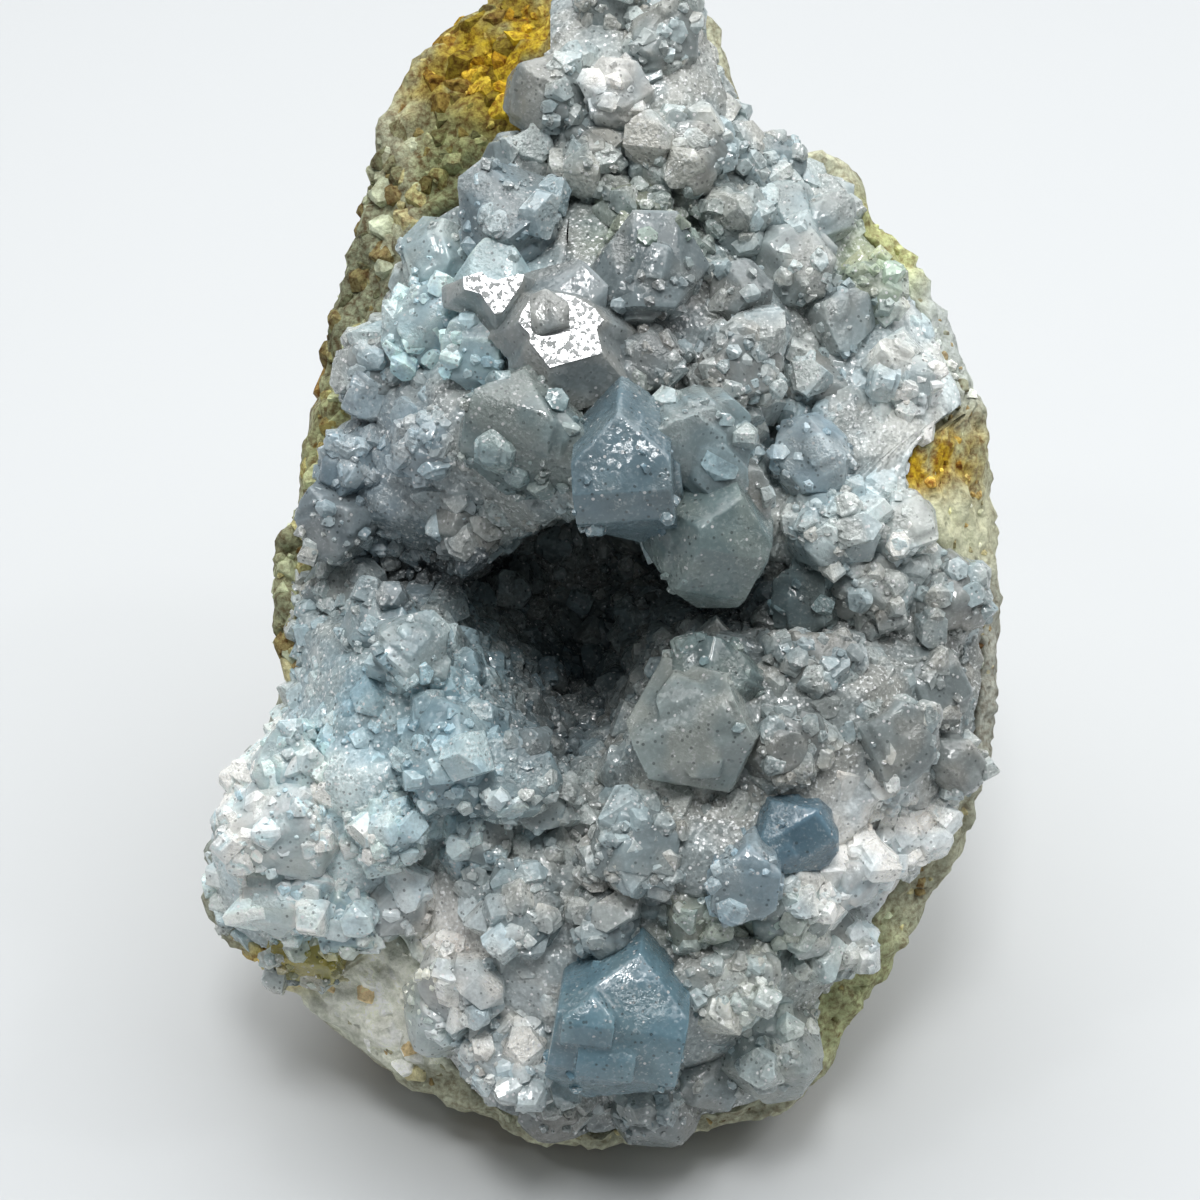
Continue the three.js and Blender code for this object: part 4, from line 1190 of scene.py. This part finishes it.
def rim_samples():
    """Places along the crust's outer edge, whose crystals lean outwards over it, in two rows at the left."""
    found = []
    for angle in np.linspace(0, 2 * math.pi, RIM_SPOTS, endpoint=False):
        rows = []
        for out, sunk, lean in RIM_ROWS:
            point = on_face(np.array(angle), edge_radius("crust", angle) + out, sunk)
            rows.append((point, leaning_axis(np.array([0.0, 0, 1]), angle, lean), "skin"))
        u, w = rows[0][0][:2]
        if w > GROUND_EDGE and u < RIGHT_EDGE:
            found += rows if u < -20 and -32 < w < 2 else rows[:1]
    return found


def stained(point):
    """Whether the edge leaves ochre rock open here, at the upper left or in a notch at the right."""
    u, w = point[:2]
    return (u < -1 and w > 33) or (u > 23 and 4 < w < 15.2 and u - 0.25 * (w - 11) > 25)


def porous(point):
    """Whether the point is in one of the patches that only the smallest crystals grow on."""
    return any(math.hypot((point[0] - cu) / hu, (point[1] - cw) / hw) < 1 for (cu, cw), (hu, hw) in POROUS)


def edge_distance(point):
    angle, out = polar(*point[:2])
    return edge_radius("crust", angle) - out


def thinned(samples, spacing):
    """Samples no closer to each other than the spacing."""
    taken, kept = {}, []
    steps = list(itertools.product((-1, 0, 1), repeat=3))
    for sample in samples:
        point = sample[0]
        x, y, z = (int(k) for k in np.floor(point / spacing))
        near = [q for dx, dy, dz in steps for q in taken.get((x + dx, y + dy, z + dz), ())]
        if near and (np.sum((np.array(near) - point) ** 2, 1) < spacing**2).any():
            continue
        taken.setdefault((x, y, z), []).append(point)
        kept.append(sample)
    return kept


def small_bodies(rand, satellites):
    """One unit-sized crystal with smaller ones grown on it."""
    ground = np.array([1.0, 0.4 * (rand() - 0.5), 0.4 * (rand() - 0.5)])
    planes = crystal_planes(1.0, 0.8 + 0.5 * rand(), ground / np.linalg.norm(ground), rand)
    planes[0] = (planes[0][0], 0.7)
    return with_steps(planes, rand, satellites, 1.0)


def with_steps(planes, rand, count, radius):
    """A crystal with smaller ones of nearly the same direction grown on its faces."""
    points, faces = polyhedron(planes)
    faces = flat_arrays(faces)
    bodies = [(points, faces)]
    for _ in range(count):
        share = STEP_SHARE[0] + STEP_SHARE[1] * rand()
        normal, dist = planes[1 + int(rand() * (len(planes) - 1))]
        side = np.array([rand() - 0.5, rand() - 0.5, rand() - 0.5])
        side -= normal * (side @ normal)
        shift = normal * (dist * (1 - share) + (STEP_OUT[0] + STEP_OUT[1] * rand()) * radius)
        shift = shift + side / np.linalg.norm(side) * (1 - share) * radius * STEP_SIDE * rand()
        turn = Matrix.Rotation((rand() - 0.5) * STEP_TURN, 3, Vector((rand(), rand() - 0.5, rand() - 0.5)))
        if normal[0] > -0.05:
            bodies.append(((points * share) @ np.array(turn).T + shift, faces))
    return bodies


def lump_bodies(rand):
    """One unit-sized lump of broken rock, bounded by faces in all directions."""
    planes = []
    for k in range(LUMP_FACES):
        z = 1 - (2 * k + 1) / LUMP_FACES
        turn = k * GOLDEN_ANGLE + rand() * 0.6
        out = math.sqrt(1 - z * z)
        planes.append((np.array([math.cos(turn) * out, math.sin(turn) * out, z]), 0.5 + 0.6 * rand()))
    points, faces = polyhedron(planes)
    return [(points, flat_arrays(faces))]


def jitter(rng, amount):
    return 1 + amount * (2 * rng.random() - 1)


def varied(tint, rng):
    """The tint of one crystal among its neighbours: lighter or darker, bluer or greyer."""
    blue = rng.random() - 0.4
    return tint * jitter(rng, 0.07) * (1 + blue * np.array(BLUE_SHIFT))


def shaded_rock(tint, rng):
    """The tint of one lump of rock among its neighbours."""
    return tint * jitter(rng, 0.12) * np.array(ROCK_SHADES[rng.integers(len(ROCK_SHADES))])


def scatter(pile, samples, shapes, sizes, colours, lean, seed, sink, shade):
    """Small bodies on the sampled places, each with its own turn, tint and size, more often a small one."""
    rng = np.random.default_rng(seed)
    for (point, normal, _), tint in zip(samples, colours):
        points, faces, convex = shapes[rng.integers(len(shapes))]
        size = sizes[0] + (sizes[1] - sizes[0]) * rng.random() ** 1.4
        axis = leaning_axis(np.array(normal), rng.random() * 2 * math.pi, lean * rng.random())
        turned = turn_matrix(axis, rng.random() * 2 * math.pi)
        stretch = size * (0.85 + 0.3 * rng.random(3))
        placed = (points * stretch) @ turned.T + point - normal * sink * size
        pile.add(placed, faces, edge_lit(shade(tint, rng)[None, :], convex))


def make_large():
    """The crystals of the solids, stepped and softened."""
    upper, lower = Pile(), Pile()
    rng = np.random.default_rng(SEEDS["tints"])
    rand = Stream(SEEDS["steps"])
    for c in CRYSTALS:
        named = NAMED_TINTS.get(c["name"])
        tint = varied(crystal_colour(c["root"][None, :])[0], rng) if named is None else np.array(named)
        steps = STEPS.get(c["name"], LARGE_STEPS)
        bodies = with_steps(c["planes"], rand, steps, c["radius"])
        points, faces, convex = rounded(bodies, LARGE_VOXEL, LARGE_TRIANGLES, 1)
        pile = upper if c["root"][1] > 0 else lower
        pile.add(points @ c["matrix"].T + c["root"], faces, edge_lit(tint[None, :], convex))
    upper.piece("large_crystals_upper", CLEAR, "celestite", LARGE_CREASE)
    lower.piece("large_crystals_lower", CLEAR, "celestite", LARGE_CREASE)


def unit_crystals(rand, count, satellites, triangles):
    """Unit-sized crystals to choose from, softened where a number of triangles is given."""
    bodies = [small_bodies(rand, satellites) for _ in range(count)]
    if triangles is None:
        return [(points, faces, np.zeros(len(points))) for (points, faces), *_ in bodies]
    return [rounded(body, PROTOTYPE_VOXEL, triangles, 0) for body in bodies]


def make_druse():
    """The medium, small and tiny crystals between and on the large ones."""
    rand, rng = Stream(SEEDS["druse"]), np.random.default_rng(SEEDS["cover"])
    samples = rim_samples() + [(p, n, crystal_under(p)) for p, n in open_samples()]
    for k, (name, spacing, sizes, count, satellites, triangles, lean, seed, sink) in enumerate(DRUSE):
        shapes = unit_crystals(rand, count, satellites, triangles)
        sugar = name == "sugar_crystals"
        spots = [s for s in thinned(samples, spacing) if rng.random() < COVER[s[2]][k]]
        spots = [s for s in spots if not (stained(s[0]) and edge_distance(s[0]) < STAIN_MARGINS[k])]
        spots = [s for s in spots if s[0][1] > GROUND_EDGE or edge_distance(s[0]) > GROUND_MARGINS[k]]
        spots = [s for s in spots if sugar or not porous(s[0])]
        colours = crystal_colour(np.array([s[0] for s in spots]))
        colours = [np.array(NAMED_TINTS.get(s[2], colour)) for s, colour in zip(spots, colours)]
        if sugar:
            colours = [colour * TINY_SHADE for colour in colours]
        pile = Pile()
        scatter(pile, spots, shapes, sizes, colours, math.radians(lean), seed, sink, varied)
        pile.piece(name, SUGAR if sugar else MILKY, "celestite", SMALL_CREASE)


def plate_frame(outline, height):
    """Middle of a plate, and its right, up and out directions, leaning back to face the lamp."""
    middle = np.array(outline).mean(0)
    base = np.array([*middle, relief(np.array(middle[0]), np.array(middle[1])) + height])
    up = np.array([0.0, math.cos(MIRROR_LEAN), -math.sin(MIRROR_LEAN)])
    out = np.array([0.0, math.sin(MIRROR_LEAN), math.cos(MIRROR_LEAN)])
    return base, np.array([1.0, 0, 0]), up, out


def plate_body(outline, height, sunk, deep, spread):
    """A closed body under the outline, from sunk to deep below the plate, wider at its foot by the spread."""
    base, right, up, out = plate_frame(outline, height)
    ring = [(u - base[0], w - base[1]) for u, w in outline]
    count = len(ring)
    top = [base + right * x + up * y - out * sunk for x, y in ring]
    foot = [base + right * x * spread + up * y * spread - out * deep for x, y in ring]
    faces = [list(range(count))[::-1], list(range(count, 2 * count))]
    faces += [[i, (i + 1) % count, (i + 1) % count + count, i + count] for i in range(count)]
    return np.array(top + foot), flat_arrays(faces)


def make_mirrors():
    """The two flat faces, each on a crystal that widens to its foot, and the small dome on the larger one."""
    plates, bodies = Pile(), Pile()
    tint = np.array(MIRROR_TINT)
    for outline, height in MIRRORS:
        points, faces = plate_body(outline, height, 0.0, PLATE_DEPTH, 1.0)
        plates.add(points, faces, np.tile(tint, (len(points), 1)))
        wedge = plate_body(outline, height, WEDGE_TOP, WEDGE_DEPTH, WEDGE_SPREAD)
        points, faces, convex = rounded([wedge], WEDGE_VOXEL, WEDGE_TRIANGLES, 0)
        bodies.add(points, faces, edge_lit(tint[None, :], convex))
    (u, w), radius = PLATE_DOME
    base, right, up, out = plate_frame(*MIRRORS[1])
    dome = small_bodies(Stream(SEEDS["dome"]), 5)
    points, faces, convex = rounded(dome, PROTOTYPE_VOXEL, DOME_TRIANGLES, 3)
    turned = turn_matrix(out, 0.7)
    place = base + right * (u - base[0]) + up * (w - base[1]) - out * DOME_SUNK
    bodies.add((points * radius) @ turned.T * 1.1 + place, faces, edge_lit(tint[None, :], convex))
    plates.piece("mirror_plates", MIRROR, "celestite", SMALL_CREASE)
    bodies.piece("mirror_bodies", CLEAR, "celestite", SMALL_CREASE)


def coarse(point):
    """Whether the rock here broke into coarse lumps: along the upper left and below the left side."""
    u, w = point[:2]
    return (u < 0 and w > -8) or (u < -13 and w < -31)


def make_rind():
    """Lumps of broken rock on the bare rim outside the crystals."""
    rand = Stream(SEEDS["rind"])
    shapes = [rounded(lump_bodies(rand), LUMP_VOXEL, LUMP_TRIANGLES, 0) for _ in range(LUMP_SHAPES)]
    spots, normals = spread_over("geode_wall", WALL_SPOTS, SEEDS["wall"])
    angle, out = polar(spots[:, 0], spots[:, 1])
    level = relief(spots[:, 0], spots[:, 1]) - spots[:, 2]
    bare = (out > edge_radius("crust", angle) - 0.2) & (level < RIND_DEPTH)
    chosen = thinned([(p, n, "rock") for p, n in zip(spots[bare], normals[bare])], LUMP_SPACING)
    pile = Pile()
    for rough, sizes, seed in ((True, COARSE_SIZE, 24), (False, FINE_SIZE, 25)):
        spots = [s for s in chosen if coarse(s[0]) == rough]
        colours = rock_colour(np.array([s[0] for s in spots]))
        scatter(pile, spots, shapes, sizes, colours, math.radians(60), seed, 0.5, shaded_rock)
    pile.piece("rind_lumps", ROCK, "matrix", SMALL_CREASE)


# Floor, light and camera

FLOOR_SIZE, FLOOR_COLOUR = 3.0, (0.60, 0.62, 0.63, 1)
WORLD_COLOUR, WORLD_STRENGTH = (0.93, 0.96, 1.0, 1), 0.17
# Lamps: place, size and watts
LIGHTS = [
    ("overhead", (0.06, 0.20, 0.58), (1.15, 0.85), 6.7),
    ("glint_left", (-0.30, -0.12, 0.50), (0.05, 0.05), 0.16),
    ("glint_right", (0.30, -0.02, 0.52), (0.05, 0.05), 0.16),
    ("glint_key", (-0.022, -0.157, 0.62), (0.14, 0.13), 1.35),
]
FOCAL_PIXELS, FRAME_PIXELS = 2270.0, 1200.0
CAMERA_DISTANCE = 0.210
CAMERA_AIM = (0.0, 0.0, 0.0)
CAMERA_ELEVATION = math.radians(41)


def area_light(name, place, size, power, target=(0, 0, 0.045)):
    light = bpy.data.lights.new(name, "AREA")
    light.shape = "RECTANGLE"
    light.size, light.size_y = size
    light.energy = power
    lamp = bpy.data.objects.new(name, light)
    lamp.location = place
    lamp.rotation_euler = (Vector(target) - Vector(place)).to_track_quat("-Z", "Y").to_euler()
    bpy.context.scene.collection.objects.link(lamp)


def set_stage():
    corners = [(x * FLOOR_SIZE, y * FLOOR_SIZE, 0) for x, y in ((-1, -1), (1, -1), (1, 1), (-1, 1))]
    mesh = bpy.data.meshes.new("floor")
    mesh.from_pydata(corners, [], [(0, 1, 2, 3)])
    floor = bpy.data.objects.new("floor", mesh)
    material, tree, shader = node_material("pale_floor")
    shader.inputs["Base Color"].default_value = FLOOR_COLOUR
    shader.inputs["Roughness"].default_value = 0.9
    mesh.materials.append(material)
    bpy.context.scene.collection.objects.link(floor)
    for name, place, size, power in LIGHTS:
        area_light(name, place, size, power)
    world = bpy.data.worlds.new("world")
    world.use_nodes = True
    background = world.node_tree.nodes["Background"]
    background.inputs[0].default_value = WORLD_COLOUR
    background.inputs[1].default_value = WORLD_STRENGTH
    bpy.context.scene.world = world
    bpy.context.scene.view_settings.view_transform = "Standard"


def set_camera():
    target = TO_PART @ Vector(CAMERA_AIM)
    direction = Vector((0, -math.cos(CAMERA_ELEVATION), math.sin(CAMERA_ELEVATION)))
    data = bpy.data.cameras.new("camera")
    data.sensor_width = 36.0
    data.lens = 36.0 * FOCAL_PIXELS / FRAME_PIXELS
    data.clip_start = 0.01
    camera = bpy.data.objects.new("camera", data)
    camera.location = target + direction * CAMERA_DISTANCE
    camera.rotation_euler = (-direction).to_track_quat("-Z", "Y").to_euler()
    bpy.context.scene.collection.objects.link(camera)
    bpy.context.scene.camera = camera


make_large()
make_druse()
make_rind()
make_mirrors()
make_skin()
make_rock()
set_camera()
set_stage()
